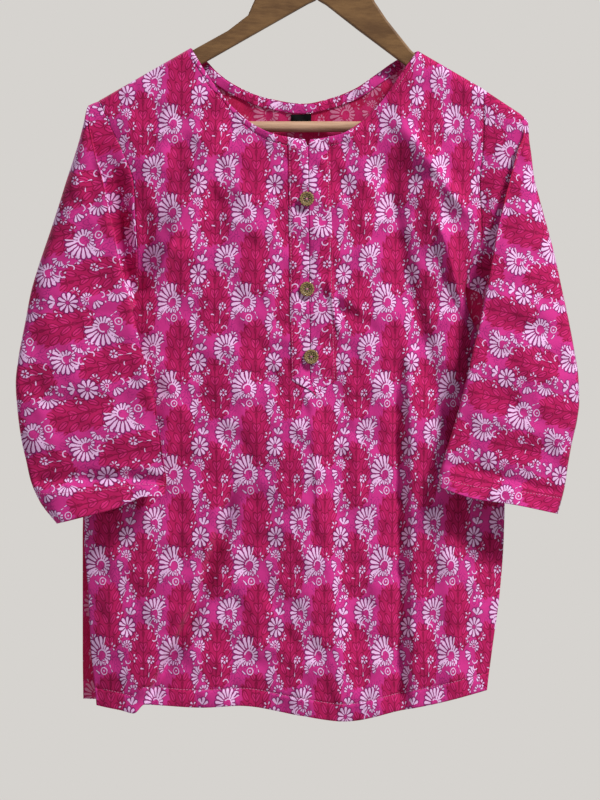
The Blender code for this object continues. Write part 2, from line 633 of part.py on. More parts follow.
def make_hanger(collection):
    """Two shaped arms that meet in the middle, a bar between them and a hook."""
    for name, outline in (("hanger_arm_left", ARM_LEFT), ("hanger_arm_right", ARM_RIGHT)):
        mesh = flat_outline(name, outline, ARM_THICK)
        arm = place(name, mesh, "stained_wood", collection)
        edge = arm.modifiers.new("rounded_edges", "BEVEL")
        edge.width = ARM_ROUND * MM
        edge.segments = 3
        edge.limit_method = "ANGLE"
        edge.angle_limit = math.radians(60)
    start, end = BAR_ENDS
    bpy.ops.mesh.primitive_cylinder_add(vertices=24, radius=BAR_RADIUS * MM,
                                        depth=(end - start) * MM)
    bar = bpy.context.object
    bar.rotation_euler = (0, math.pi / 2, 0)
    bar.location = ((start + end) / 2 * MM, 0, BAR_Z * MM)
    adopt(bar, "hanger_bar", "pale_wood", collection)
    make_hook(collection)


def make_hook(collection):
    """A bent wire: tip, round bend over the top, and a shank down to the wood."""
    centre_z = HOOK_WIRE / 2 - HOOK_BEND
    turn = np.radians(np.linspace(HOOK_TIP_TURN, HOOK_END_TURN, HOOK_STEPS))
    route = [(HOOK_BEND * math.cos(a), centre_z + HOOK_BEND * math.sin(a)) for a in turn]
    foot_x, foot_z = HOOK_FOOT
    x0, z0 = route[-1]
    away = (-math.sin(turn[-1]), math.cos(turn[-1]))
    steps = np.linspace(0, 1, 7)[1:]
    first = (x0 + away[0] * HOOK_LEAVES, z0 + away[1] * HOOK_LEAVES)
    second = (foot_x, foot_z + HOOK_ARRIVES)
    for s in steps:
        weights = ((1 - s) ** 3, 3 * s * (1 - s) ** 2, 3 * s * s * (1 - s), s ** 3)
        corners = ((x0, z0), first, second, (foot_x, foot_z))
        route.append(tuple(sum(w * c[i] for w, c in zip(weights, corners)) for i in (0, 1)))
    curve = bpy.data.curves.new("hanger_hook", "CURVE")
    curve.dimensions = "3D"
    curve.bevel_depth = HOOK_WIRE / 2 * MM
    curve.bevel_resolution = 2
    curve.use_fill_caps = True
    spline = curve.splines.new("POLY")
    spline.points.add(len(route) - 1)
    for point, (x, z) in zip(spline.points, route):
        point.co = (x * MM, 0.0, z * MM, 1.0)
    place("hanger_hook", curve_to_mesh("hanger_hook", curve), "bright_steel", collection)


def main():
    for obj in list(bpy.data.objects):
        bpy.data.objects.remove(obj)
    collection = bpy.data.collections.new(COLLECTION)
    cutters = bpy.data.collections.new("cutters")
    bpy.context.scene.collection.children.link(collection)
    bpy.context.scene.collection.children.link(cutters)
    make_panels(collection)
    make_sleeves(collection)
    make_placket(collection)
    make_facing(collection)
    make_label(collection)
    make_buttons(collection, cutters)
    make_hanger(collection)


main()
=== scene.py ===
# %% [markdown]
# # A printed cotton kurta on a wooden hanger
#
# The solids of the kurta are already packed: this lesson dresses them. It makes
# each piece of cloth again as a thin sheet with its creases, prints the cotton
# with shader nodes, carves the buttons, and sets up the camera and the light.

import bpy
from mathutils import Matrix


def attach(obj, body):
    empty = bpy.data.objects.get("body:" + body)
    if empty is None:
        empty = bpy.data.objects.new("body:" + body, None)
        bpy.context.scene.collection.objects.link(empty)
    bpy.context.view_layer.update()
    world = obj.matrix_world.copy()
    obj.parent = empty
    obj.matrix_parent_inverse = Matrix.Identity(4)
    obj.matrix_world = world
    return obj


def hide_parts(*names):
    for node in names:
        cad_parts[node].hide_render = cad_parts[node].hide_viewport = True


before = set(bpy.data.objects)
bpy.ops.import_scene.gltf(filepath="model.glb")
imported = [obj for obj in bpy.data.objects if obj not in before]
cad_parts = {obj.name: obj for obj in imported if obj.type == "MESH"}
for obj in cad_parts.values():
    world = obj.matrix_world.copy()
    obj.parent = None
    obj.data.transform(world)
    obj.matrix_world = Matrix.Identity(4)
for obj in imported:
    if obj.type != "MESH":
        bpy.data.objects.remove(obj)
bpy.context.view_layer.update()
print("packed pieces:", len(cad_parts))

# %% Tools and units
import functools
import math

import bmesh
import bpy
import numpy as np

MM = 0.001


def smoothstep(low, high, value):
    """Rise from 0 to 1 between low and high, with level ends: 3t^2 - 2t^3."""
    t = np.clip((value - low) / (high - low), 0.0, 1.0)
    return t * t * (3 - 2 * t)


def smooth_curve(xs, ys):
    """Return a function through the points that never overshoots between them.

    Each span is a cubic whose end slopes are the harmonic mean of the slopes on
    either side, and level where the points turn back.
    """
    order = np.argsort(xs)
    x = np.asarray(xs, float)[order]
    y = np.asarray(ys, float)[order]
    step = np.diff(x)
    slope = np.diff(y) / step
    tangent = np.zeros_like(y)
    same = slope[1:] * slope[:-1] > 0
    mean = 2 * slope[1:] * slope[:-1] / np.where(same, slope[1:] + slope[:-1], 1.0)
    tangent[1:-1] = np.where(same, mean, 0.0)
    tangent[0] = slope[0]
    tangent[-1] = slope[-1]

    def curve(value):
        v = np.clip(np.asarray(value, float), x[0], x[-1])
        i = np.clip(np.searchsorted(x, v) - 1, 0, len(step) - 1)
        h = step[i]
        t = (v - x[i]) / h
        rise = y[i] * (1 + 2 * t) * (1 - t) ** 2 + y[i + 1] * t * t * (3 - 2 * t)
        return rise + h * t * (1 - t) * (tangent[i] * (1 - t) - tangent[i + 1] * t)

    return curve


def column(table, index, key=0):
    """Return the smooth curve of one column of a table over another column."""
    return smooth_curve([row[key] for row in table], [row[index] for row in table])


print("a curve through (0, 0), (1, 1), (2, 0) is", float(smooth_curve((0, 1, 2), (0, 1, 0))(1)), "at 1")

# %% [markdown]
# ## The camera
#
# The kurta is seen straight from the front, by a camera a big step away. A long
# lens keeps the shoulders and the hem at one scale, as they look by eye.

# %% Camera
VIEW_CENTRE = (-22.4, -15.0, -515.1)
VIEW_HEIGHT = 816.0
CAMERA_AWAY = 5200.0

lens = bpy.data.cameras.new("camera")
camera = bpy.data.objects.new("camera", lens)
bpy.context.scene.collection.objects.link(camera)
camera.location = (VIEW_CENTRE[0] * MM, (VIEW_CENTRE[1] - CAMERA_AWAY) * MM, VIEW_CENTRE[2] * MM)
camera.rotation_euler = (math.pi / 2, 0, 0)
lens.lens = lens.sensor_width * CAMERA_AWAY / VIEW_HEIGHT
bpy.context.scene.camera = camera
print("lens of", round(lens.lens, 1), "mm")

# %% [markdown]
# ## The cut
#
# A kurta is flat pieces of cotton: front, back and two sleeves. Their edges are
# short tables here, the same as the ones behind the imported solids, so each
# sheet lies where its solid lies. Everything is in millimetres from the hook.

# %% Edges of the panels
SHOULDER = {"left_tip": (-228.0, -209.0), "left_neck": (-134.0, -155.0),
            "right_neck": (98.0, -158.0), "right_tip": (165.0, -197.0)}
FRONT_NECK = {"x": (-134, -118, -106, -93, -71, -47, -14, 18, 37, 59, 83, 98),
              "z": (-155, -181, -198, -214, -233, -244, -249, -244, -233, -212, -178, -158)}
BACK_NECK = {"x": (-134, -118, -107, -88, -57, -18, 10, 34, 58, 78, 98),
             "z": (-155, -168, -179.5, -193, -205.5, -211.5, -205.5, -196, -179.5, -166, -158)}
# height, left edge, right edge
ARMHOLES = ((-197, -235, 165), (-209, -228, 165), (-236, -216, 165), (-262, -203, 164),
            (-294, -192, 161), (-333, -190, 163))
FRONT_SIDES = ARMHOLES + (
    (-349, -189, 163), (-372, -188, 155), (-401, -188, 147), (-414, -200, 148),
    (-432, -204, 153), (-450, -206, 163), (-474, -209, 173), (-546, -228, 179), (-617, -243, 187),
    (-658, -243, 186), (-710, -239, 182), (-770, -236, 174), (-809, -232, 169), (-843, -229, 166),
)
BACK_SIDES = ARMHOLES + (
    (-372, -188, 165), (-401, -187, 169), (-414, -199, 172), (-440, -204, 173), (-474, -209, 174),
    (-546, -228, 179), (-617, -244, 186), (-658, -245, 183), (-710, -245, 177), (-770, -245, 169),
    (-843, -244, 160),
)
FRONT_HEM = {"x": (-245, -230, -205, -192, -181, -124, -84, -22, 23, 80, 120, 171, 185),
             "z": (-823, -827, -832, -835, -826, -829, -827, -837, -843, -832, -824, -811, -807)}
BACK_HEM = {"x": (-245, -180, -60, 60, 185), "z": (-821, -823, -828, -826, -806)}
NOTCH = {"x": -14.8, "half": 2.4, "deep": 8.0}

left_of_front, right_of_front = column(FRONT_SIDES, 1), column(FRONT_SIDES, 2)
left_of_back, right_of_back = column(BACK_SIDES, 1), column(BACK_SIDES, 2)
plain_front_neck, back_neck, front_hem, back_hem = (
    smooth_curve(line["x"], line["z"]) for line in (FRONT_NECK, BACK_NECK, FRONT_HEM, BACK_HEM))


def front_neck(x):
    """Front neckline with the small V where the two strips of the opening meet."""
    share = np.clip(1 - np.abs(x - NOTCH["x"]) / NOTCH["half"], 0, 1)
    return plain_front_neck(x) - NOTCH["deep"] * share


print("hem width", float(right_of_front(-770) - left_of_front(-770)), "mm")

# %% [markdown]
# ## How the cloth hangs
#
# Cotton on a hanger is never flat. It falls from the shoulders in long soft
# folds. Each fold is a bell-shaped ridge along a line through three points. It
# has its own reach to either side, so one flank can be steep and the other
# slow. Deep folds are in the solids. The smaller creases are added here.

# %% Depths and fold tables
# the sheet's wall, the seams' distance from the middle plane, how fast a panel rounds
# over from the shoulder and swells from its sides, and the soft floor of its hollows
CLOTH = 0.6
SEAM_Y = 1.35
RIDGE_ROUND = 2.6
EDGE_SOFTNESS = 26.0
EDGE_SETTLE = 9.0
FRONT_DEEPEST = -1.8
DEEP_SOFT = 0.8
# height, front face, back face, front edge, back edge
DEPTHS = (
    (-155, 9, 9, 8.2, 8.2), (-200, 10.5, 9.3, 8.2, 8.2), (-230, 12, 9.6, 8.4, 8.2),
    (-262, 13, 10, 8, 8.2), (-300, 14, 10.5, 7.4, 7.8), (-345, 15, 11, 7, 7),
    (-380, 15.5, 11.5, 3, 6.5), (-405, 16, 11.5, 0.4, 3.4), (-474, 16, 12, 0, 3.8),
    (-546, 16, 12, -1, 4.8), (-640, 16, 12.5, -1.5, 5.4), (-665, 16, 12.5, 0, 5.6),
    (-740, 16.5, 13, 4, 6.5), (-843, 17, 13, 6, 7),
)
# x and z of the head, middle and foot, height, reach left and right, fade at the ends
FOLDS_FRONT = {
    "left_drape": (-100, -222, -134, -311, -178, -400, 8, 26, 11, 50),
    "left_underarm_hollow": (-184, -310, -187, -368, -192, -424, -3, 12, 10, 24),
    "left_soft": (-66, -262, -76, -413, -90, -586, 3.5, 26, 18, 80),
    "left_hollow": (-112, -240, -112, -300, -118, -372, -3.5, 14, 16, 50),
    "foot_step": (-97, -600, -136, -719, -192, -835, 7, 46, 5, 60),
    "centre_drape": (-16, -486, 0, -638, 20, -860, 9, 62, 15, 70),
    "pleat_hollow": (78, -455, 82, -638, 84, -850, -6, 9, 6, 50),
    "pleat_ridge": (90, -455, 91, -638, 94, -860, 5, 6, 22, 50),
    "right_valley": (60, -240, 77, -362, 128, -546, -7, 16, 15, 50),
    "right_rib": (104, -285, 120, -342, 150, -436, 8, 13, 11, 40),
    "right_drape": (70, -214, 116, -286, 166, -349, 8.5, 16, 12, 34),
    "right_underarm_hollow": (172, -352, 160, -396, 166, -446, -15, 10, 16, 26),
    "right_soft": (118, -530, 130, -680, 140, -850, 5, 16, 16, 60),
}
FOLDS_BACK = {
    "back_left": (-150, -330, -160, -560, -172, -850, 5, 26, 20, 90),
    "back_left_soft": (-92, -380, -98, -600, -106, -850, 3.5, 20, 26, 90),
    "back_centre": (-24, -330, -30, -600, -36, -850, 6, 30, 24, 110),
    "back_right": (44, -360, 52, -600, 58, -850, 4.5, 22, 26, 90),
    "back_right_side": (112, -330, 122, -560, 130, -850, 5.5, 24, 20, 90),
    "back_yoke_left": (-96, -216, -136, -290, -172, -360, 3.5, 18, 18, 50),
    "back_yoke_right": (62, -214, 104, -290, 142, -360, 3.5, 18, 18, 50),
}
CREASES_FRONT = {
    "tug_upper": (5, -384, 10, -412, 18, -452, 2.6, 2.5, 3.5, 16),
    "tug_middle": (12, -384, 17, -412, 25, -452, -2.2, 3, 4, 16),
    "tug_lower": (16, -404, 32, -418, 50, -434, 2.6, 7, 9, 10),
    "tug_foot": (12, -414, 30, -430, 50, -448, -1.5, 7, 9, 10),
    "chest_line": (-44, -300, -50, -380, -54, -470, 0.8, 9, 5, 40),
    "neck_line": (40, -262, 44, -330, 40, -400, 0.8, 6, 9, 40),
    "shoulder_line": (-168, -200, -160, -240, -166, -300, 1.2, 8, 6, 30),
    "hem_left": (-60, -700, -66, -770, -72, -840, 1.2, 10, 7, 40),
    "hem_middle": (-28, -740, -32, -790, -34, -850, -1, 9, 7, 40),
    "hem_right": (56, -690, 54, -770, 50, -850, 1.2, 8, 10, 40),
    "side_right": (150, -560, 158, -660, 160, -800, 1.5, 7, 7, 60),
    "side_left": (-206, -560, -214, -640, -216, -760, 1.3, 8, 7, 60),
    "step_groove": (-89, -600, -128, -719, -184, -835, -11.5, 4, 12, 30),
    "step_edge": (-97, -604, -136, -719, -190, -826, 1.6, 6, 3, 40),
    "centre_line": (-14, -500, -9, -560, -2, -660, 1.7, 2.6, 5, 30),
    "underarm_edge": (-146, -350, -168, -382, -194, -414, 6.5, 4.5, 13, 14),
    "underarm_dip": (-176, -330, -182, -368, -190, -402, -2, 8, 6, 20),
    "rib_edge": (118, -330, 134, -384, 150, -440, 5, 3.5, 9, 24),
    "rib_dip": (112, -330, 127, -384, 143, -440, -3, 6, 3, 24),
    "drape_edge": (84, -232, 118, -284, 160, -340, 2.4, 5, 9, 24),
    "left_edge": (-98, -226, -126, -296, -160, -366, 3, 9, 4, 30),
    "valley_edge": (66, -262, 84, -372, 118, -500, -2.5, 5, 8, 50),
    "belly_soft": (-150, -440, -156, -520, -164, -610, 2, 12, 8, 50),
    "belly_line": (30, -470, 34, -560, 40, -660, 1.4, 7, 4, 40),
    "pleat_line": (74, -470, 79, -640, 80, -850, -2.5, 3.5, 3, 50),
}

# direction in degrees, wave length, height, phase
CRUMPLE = ((22, 71, 0.95, 0.3), (-31, 47, 0.8, 1.9), (68, 38, 0.65, 4.1), (-74, 27, 0.42, 2.7),
           (8, 23, 0.32, 5.2), (48, 17, 0.2, 0.9))

front_face, back_face, front_edge, back_edge = (column(DEPTHS, k) for k in (1, 2, 3, 4))
print("folds and creases:", [len(t) for t in (FOLDS_FRONT, FOLDS_BACK, CREASES_FRONT)])

# %% Surfaces of the panels
def shoulder_line(x):
    """Height of the shoulder seam over x: two straight lines, the lower one wins."""
    lines = []
    for side in ("left", "right"):
        (tip_x, tip_z), (neck_x, neck_z) = SHOULDER[side + "_tip"], SHOULDER[side + "_neck"]
        lines.append(neck_z + (x - neck_x) * (tip_z - neck_z) / (tip_x - neck_x))
    return np.minimum(*lines)


def fold_height(folds, x, z):
    """Sum over the folds of height * exp(-(distance / reach)^2), faded at both ends."""
    total = np.zeros_like(x)
    for x0, z0, x1, z1, x2, z2, height, left, right, fade in folds.values():
        off = x - smooth_curve((z0, z1, z2), (x0, x1, x2))(z)
        reach = np.where(off < 0, left, right)
        ends = smoothstep(z2 - 1, z2 + fade, z) * smoothstep(-z0 - 1, -z0 + fade, -z)
        total += height * np.exp(-(off / reach) ** 2) * ends
    return total


def crumple(x, z):
    """Small uneven waves: sines in six directions, on a grid that is bent first."""
    bent_x = x + 9 * np.sin(z / 37 + 1.3) + 4 * np.sin((x + z) / 21)
    bent_z = z + 11 * np.sin(x / 43 + 0.7) + 5 * np.sin((x - z) / 26)
    total = np.zeros_like(bent_x)
    for turn, wave, height, phase in CRUMPLE:
        across = bent_x * math.cos(math.radians(turn)) + bent_z * math.sin(math.radians(turn))
        total += height * np.sin(2 * np.pi * across / wave + phase)
    return total


def panel_depth(x, z, face, edge, left, right, folds):
    """Depth of a panel away from the middle plane: it swells from its edges to its
    face as 1 - exp(-distance), its folds are added, and it closes on the shoulder."""
    def away(distance, reach):
        return 1 - np.exp(-np.maximum(distance, 0.0) / reach)

    inward = np.minimum(x - left(z), right(z) - x)
    depth = edge(z) + (face(z) - edge(z)) * away(inward, EDGE_SOFTNESS)
    depth = depth + (fold_height(folds, x, z) + crumple(x, z)) * away(inward, EDGE_SETTLE)
    return SEAM_Y + (depth - SEAM_Y) * away(shoulder_line(x) - z, RIDGE_ROUND)


def front_y(x, z):
    """Y of the front's outer face. A soft floor, the log of 1 + exp, keeps its hollows
    clear of the back."""
    folds = dict(FOLDS_FRONT, **CREASES_FRONT)
    depth = panel_depth(x, z, front_face, front_edge, left_of_front, right_of_front, folds)
    return -(FRONT_DEEPEST + DEEP_SOFT * np.logaddexp(0.0, (depth - FRONT_DEEPEST) / DEEP_SOFT))


def back_y(x, z):
    """Y of the back's outer face."""
    return panel_depth(x, z, back_face, back_edge, left_of_back, right_of_back, FOLDS_BACK)


waist = front_y(np.array(-20.0), np.array(-600.0))
print("front stands", round(float(-waist), 1), "mm forward at the waist")

# %% [markdown]
# ## Where the print falls
#
# A printed cloth is printed flat and then hangs in folds, so its repeat looks
# narrower where the cloth is gathered. Each sheet carries a UV map called
# cloth, in millimetres of flat cotton. On the front, a short table says where
# the upright chains of white flowers fall.

# %% Flat places of the front
TILE = (90.0, 91.0)
CHAINS = (
    (-200, -199, -125, -48, 29, 97, 160), (-265, -199, -126, -48, 29, 97, 160),
    (-358, -199, -126, -49, 23, 92, 156), (-451, -200, -127, -49, 21, 92, 156),
    (-540, -202, -125, -48, 20, 89, 156), (-631, -199, -124, -47, 19, 89, 155),
    (-721, -199, -124, -46, 18, 88, 155), (-818, -197, -125, -49, 24, 90, 156),
)
CHAIN_FIRST = -2
SIDE_REPEAT = 75.0
BACK_GATHERED = 1.15
BACK_START = (30.0, 12.0)
DAISY_ROWS = ((-112, 3), (-204, 2), (-295, 1), (-386.5, 0), (-476.5, -1), (-562, -2),
              (-654.5, -3), (-746.5, -4), (-838, -5), (-930, -6))
daisy_row = column(DAISY_ROWS, 1)


def front_cloth(x, z):
    """Flat place of the front: across, each gap between two chains is one repeat."""
    lines = [column(CHAINS, k + 1)(z) for k in range(len(CHAINS[0]) - 1)]
    across = CHAIN_FIRST + np.minimum(0.0, x - lines[0]) / SIDE_REPEAT
    for near, far in zip(lines[:-1], lines[1:]):
        across = across + np.clip((x - near) / (far - near), 0, 1)
    across = across + np.maximum(0.0, x - lines[-1]) / SIDE_REPEAT
    return np.stack([across * TILE[0], daisy_row(z) * TILE[1]], axis=-1)


def back_cloth(x, z):
    """Flat place of the back, a little gathered across."""
    return np.stack([x * BACK_GATHERED + BACK_START[0], z + BACK_START[1]], axis=-1)


print("first daisy at", front_cloth(np.array(-48.0), np.array(-386.5)))

# %% [markdown]
# ## From a grid to a mesh
#
# A sheet is a grid of points worked out all at once. Two neighbouring rows and
# columns make a face. The mesh gets its flat places as a UV map, and a Solidify
# modifier gives the cotton its thickness, with the reverse side as a second
# material on the inside.

# %% Mesh from a grid
def mend(mesh, weld=0.0, outward=False):
    """Merge points closer than weld, turn all faces outwards if asked, and smooth."""
    if weld or outward:
        shape = bmesh.new()
        shape.from_mesh(mesh)
        if weld:
            bmesh.ops.remove_doubles(shape, verts=shape.verts, dist=weld * MM)
        if outward:
            bmesh.ops.recalc_face_normals(shape, faces=shape.faces)
        shape.to_mesh(mesh)
        shape.free()
    mesh.shade_smooth()
    return mesh


def grid_mesh(name, points, cloth=None, flip=False, closed=False, weld=0.0, outward=False):
    """Quads over a rows x columns grid: corner (i, j) meets (i+1, j), (i+1, j+1), (i, j+1)."""
    rows, cols = points.shape[:2]
    index = np.arange(rows * cols).reshape(rows, cols)
    if closed:
        index = np.hstack([index, index[:, :1]])
    quads = np.stack([index[:-1, :-1], index[1:, :-1], index[1:, 1:], index[:-1, 1:]], axis=-1)
    quads = quads.reshape(-1, 4)
    if flip:
        quads = quads[:, ::-1]
    mesh = bpy.data.meshes.new(name)
    mesh.vertices.add(rows * cols)
    mesh.vertices.foreach_set("co", (points.reshape(-1) * MM).astype(np.float32))
    mesh.loops.add(quads.size)
    mesh.loops.foreach_set("vertex_index", quads.reshape(-1).astype(np.int32))
    mesh.polygons.add(len(quads))
    mesh.polygons.foreach_set("loop_start", np.arange(len(quads), dtype=np.int32) * 4)
    mesh.update(calc_edges=True)
    if cloth is not None:
        layer = mesh.uv_layers.new(name="cloth")
        flat = cloth.reshape(-1, 2)[quads.reshape(-1)] * MM
        layer.uv.foreach_set("vector", flat.reshape(-1).astype(np.float32))
    return mend(mesh, weld, outward)


def add_piece(name, mesh, *materials):
    """Put a mesh in the scene as a piece that rides on the one body."""
    obj = bpy.data.objects.new(name, mesh)
    for material in materials:
        mesh.materials.append(material)
    bpy.context.scene.collection.objects.link(obj)
    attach(obj, "root")
    return obj


def cloth_piece(name, mesh, wall=CLOTH, materials=()):
    """A sheet of cloth: the grid is its outer face and its thickness goes inwards."""
    obj = add_piece(name, mesh, *materials)
    thick = obj.modifiers.new("wall", "SOLIDIFY")
    thick.thickness = wall * MM
    thick.offset = -1.0
    if len(materials) > 1:
        thick.material_offset = 1
    print(name, len(mesh.polygons) * 4, "triangles")
    return obj


# %% [markdown]
# ## Shader maths as plain expressions
#
# The print is a formula, so its nodes are mostly maths. A small class wraps a
# socket, and its operators add the Math nodes: 1 - mask is then one line. One
# method makes every other node.

# %% A material and its values
class Value:
    """A socket in a material. Sums on it become Math nodes."""

    def __init__(self, finish, socket):
        self.finish = finish
        self.socket = socket

    def __add__(self, other):
        return self.finish.math("ADD", self, other)

    def __sub__(self, other):
        return self.finish.math("SUBTRACT", self, other)

    def __rsub__(self, other):
        return self.finish.math("SUBTRACT", other, self)

    def __mul__(self, other):
        return self.finish.math("MULTIPLY", self, other)

    def __abs__(self):
        return self.finish.math("ABSOLUTE", self)

    __radd__ = __add__
    __rmul__ = __mul__


class Finish:
    """A material on a Principled shader, and the one way its nodes are made."""

    def __init__(self, name, **constants):
        self.material = bpy.data.materials.new(name)
        self.material.use_nodes = True
        self.tree = self.material.node_tree
        self.shader = self.tree.nodes["Principled BSDF"]
        self.feed(self.shader, constants)

    def feed(self, node, inputs):
        """Give a node's sockets their values or links. Underscores stand for spaces."""
        for key, value in dict(inputs).items():
            socket = node.inputs[key if isinstance(key, int) else key.replace("_", " ")]
            if isinstance(value, Value):
                self.tree.links.new(value.socket, socket)
            else:
                socket.default_value = value

    def node(self, kind, settings=None, inputs=None, output=0):
        """Add a node: its settings first, then its sockets. Returns one output."""
        made = self.tree.nodes.new("ShaderNode" + kind)
        for key, value in (settings or {}).items():
            setattr(made, key, value)
        self.feed(made, inputs or {})
        return Value(self, made.outputs[output])

    def math(self, operation, *values):
        return self.node("Math", {"operation": operation}, dict(enumerate(values)))

    def vector(self, operation, *values, output=0):
        return self.node("VectorMath", {"operation": operation}, dict(enumerate(values)), output)

    def split(self, vector):
        """The x, y and z of a vector."""
        first = self.node("SeparateXYZ", {}, {0: vector})
        return [Value(self, out) for out in first.socket.node.outputs]

    def ease(self, value, low, high):
        """0 below low, 1 above high, smooth between. low may be the larger."""
        return self.node("MapRange", {"interpolation_type": "SMOOTHSTEP"},
                         {0: value, 1: low, 2: high, 3: 0.0, 4: 1.0})

    def blend(self, share, one, other):
        """Colour between one and other."""
        return self.node("Mix", {"data_type": "RGBA"}, {0: share, 6: one, 7: other}, 2)

    def noise(self, place, scale, detail=2.0, output=0):
        return self.node("TexNoise", {}, {"Vector": place, "Scale": scale, "Detail": detail}, output)

    def place(self):
        """Object coordinates, in metres."""
        return self.node("TexCoord", {}, {}, 3)

    def waves(self, direction, scale, **inputs):
        """Even bands, as of ribs or twisted thread."""
        return self.node("TexWave", {"wave_type": "BANDS", "bands_direction": direction},
                         dict(inputs, Vector=self.place(), Scale=scale))

    def show(self, relief=None, **inputs):
        """Feed the shader. relief is a height, its strength and its depth in metres."""
        if relief:
            names = ("Height", "Strength", "Distance")
            inputs["Normal"] = self.node("Bump", {}, dict(zip(names, relief)))
        self.feed(self.shader, inputs)
        return self.material


def colour(red, green, blue):
    """Linear colour of a screen colour given from 0 to 255."""
    def linear(c):
        c = c / 255
        return c / 12.92 if c <= 0.04045 else ((c + 0.055) / 1.055) ** 2.4
    return (linear(red), linear(green), linear(blue), 1.0)


print("mid pink is", [round(c, 3) for c in colour(200, 55, 130)])

# %% [markdown]
# ## The print
#
# The cotton carries a small-scale print: white daisies, fans and buds in upright
# chains, and between them dark leafy bushes on pink. A picture of the print
# would be stretched and blurred, so each motif is drawn by a formula. Nearly all
# of them are rings of petals. A place is turned into an angle and a distance
# from the ring's middle, and a petal is an oval in those two.

# %% Petals
def ring_of_petals(finish, angle, radius, petals, reach, half, width, facing, arc):
    """How far a place is from one ring of petals: below 1 is on a petal.

    The angle is folded onto one petal. With a as the angle from its middle over its
    half width, and r as the distance from its centre over its half length, the
    value is a^2 + r^4, an oval with blunt ends. Outside the arc, 9 is added.
    """
    folded = finish.math("WRAP", angle, facing + math.pi / petals, facing - math.pi / petals)
    a = finish.math("MULTIPLY_ADD", folded, 1 / width, -facing / width)
    r = finish.math("MULTIPLY_ADD", radius, 1 / half, -reach / half)
    r = r * r
    value = finish.math("MULTIPLY_ADD", a, a, r * r)
    if arc < 2 * math.pi:
        facing_it = finish.math("COSINE", angle - facing)
        outside = finish.math("LESS_THAN", facing_it, math.cos(arc / 2))
        value = finish.math("MULTIPLY_ADD", outside, 9.0, value)
    return value


def from_nearest(finish, place, x, y):
    """The way from the nearest of a motif's centres, which repeat over the cloth."""
    w, h = TILE[0] / 2, TILE[1] / 2
    near = finish.vector("WRAP", place, (x + w, y + h, 1.0), (x - w, y - h, -1.0))
    return finish.vector("SUBTRACT", near, (x, y, 0.0))


def extreme(finish, which, values):
    """The least or the greatest of some values: which is MINIMUM or MAXIMUM."""
    return functools.reduce(lambda one, other: finish.math(which, one, other), values)


def motif(finish, place, x, y, *rings):
    """The least distance from all rings of one motif, repeated over the cloth."""
    off = from_nearest(finish, place, x, y)
    radius = finish.vector("LENGTH", off, output=1)
    dx, dy, _ = finish.split(off)
    angle = finish.math("ARCTAN2", dy, dx)
    return extreme(finish, "MINIMUM", [
        ring_of_petals(finish, angle, radius, *ring[:3], *map(math.radians, ring[3:]))
        for ring in rings])


print("petals repeat on the cloth every", TILE, "mm")

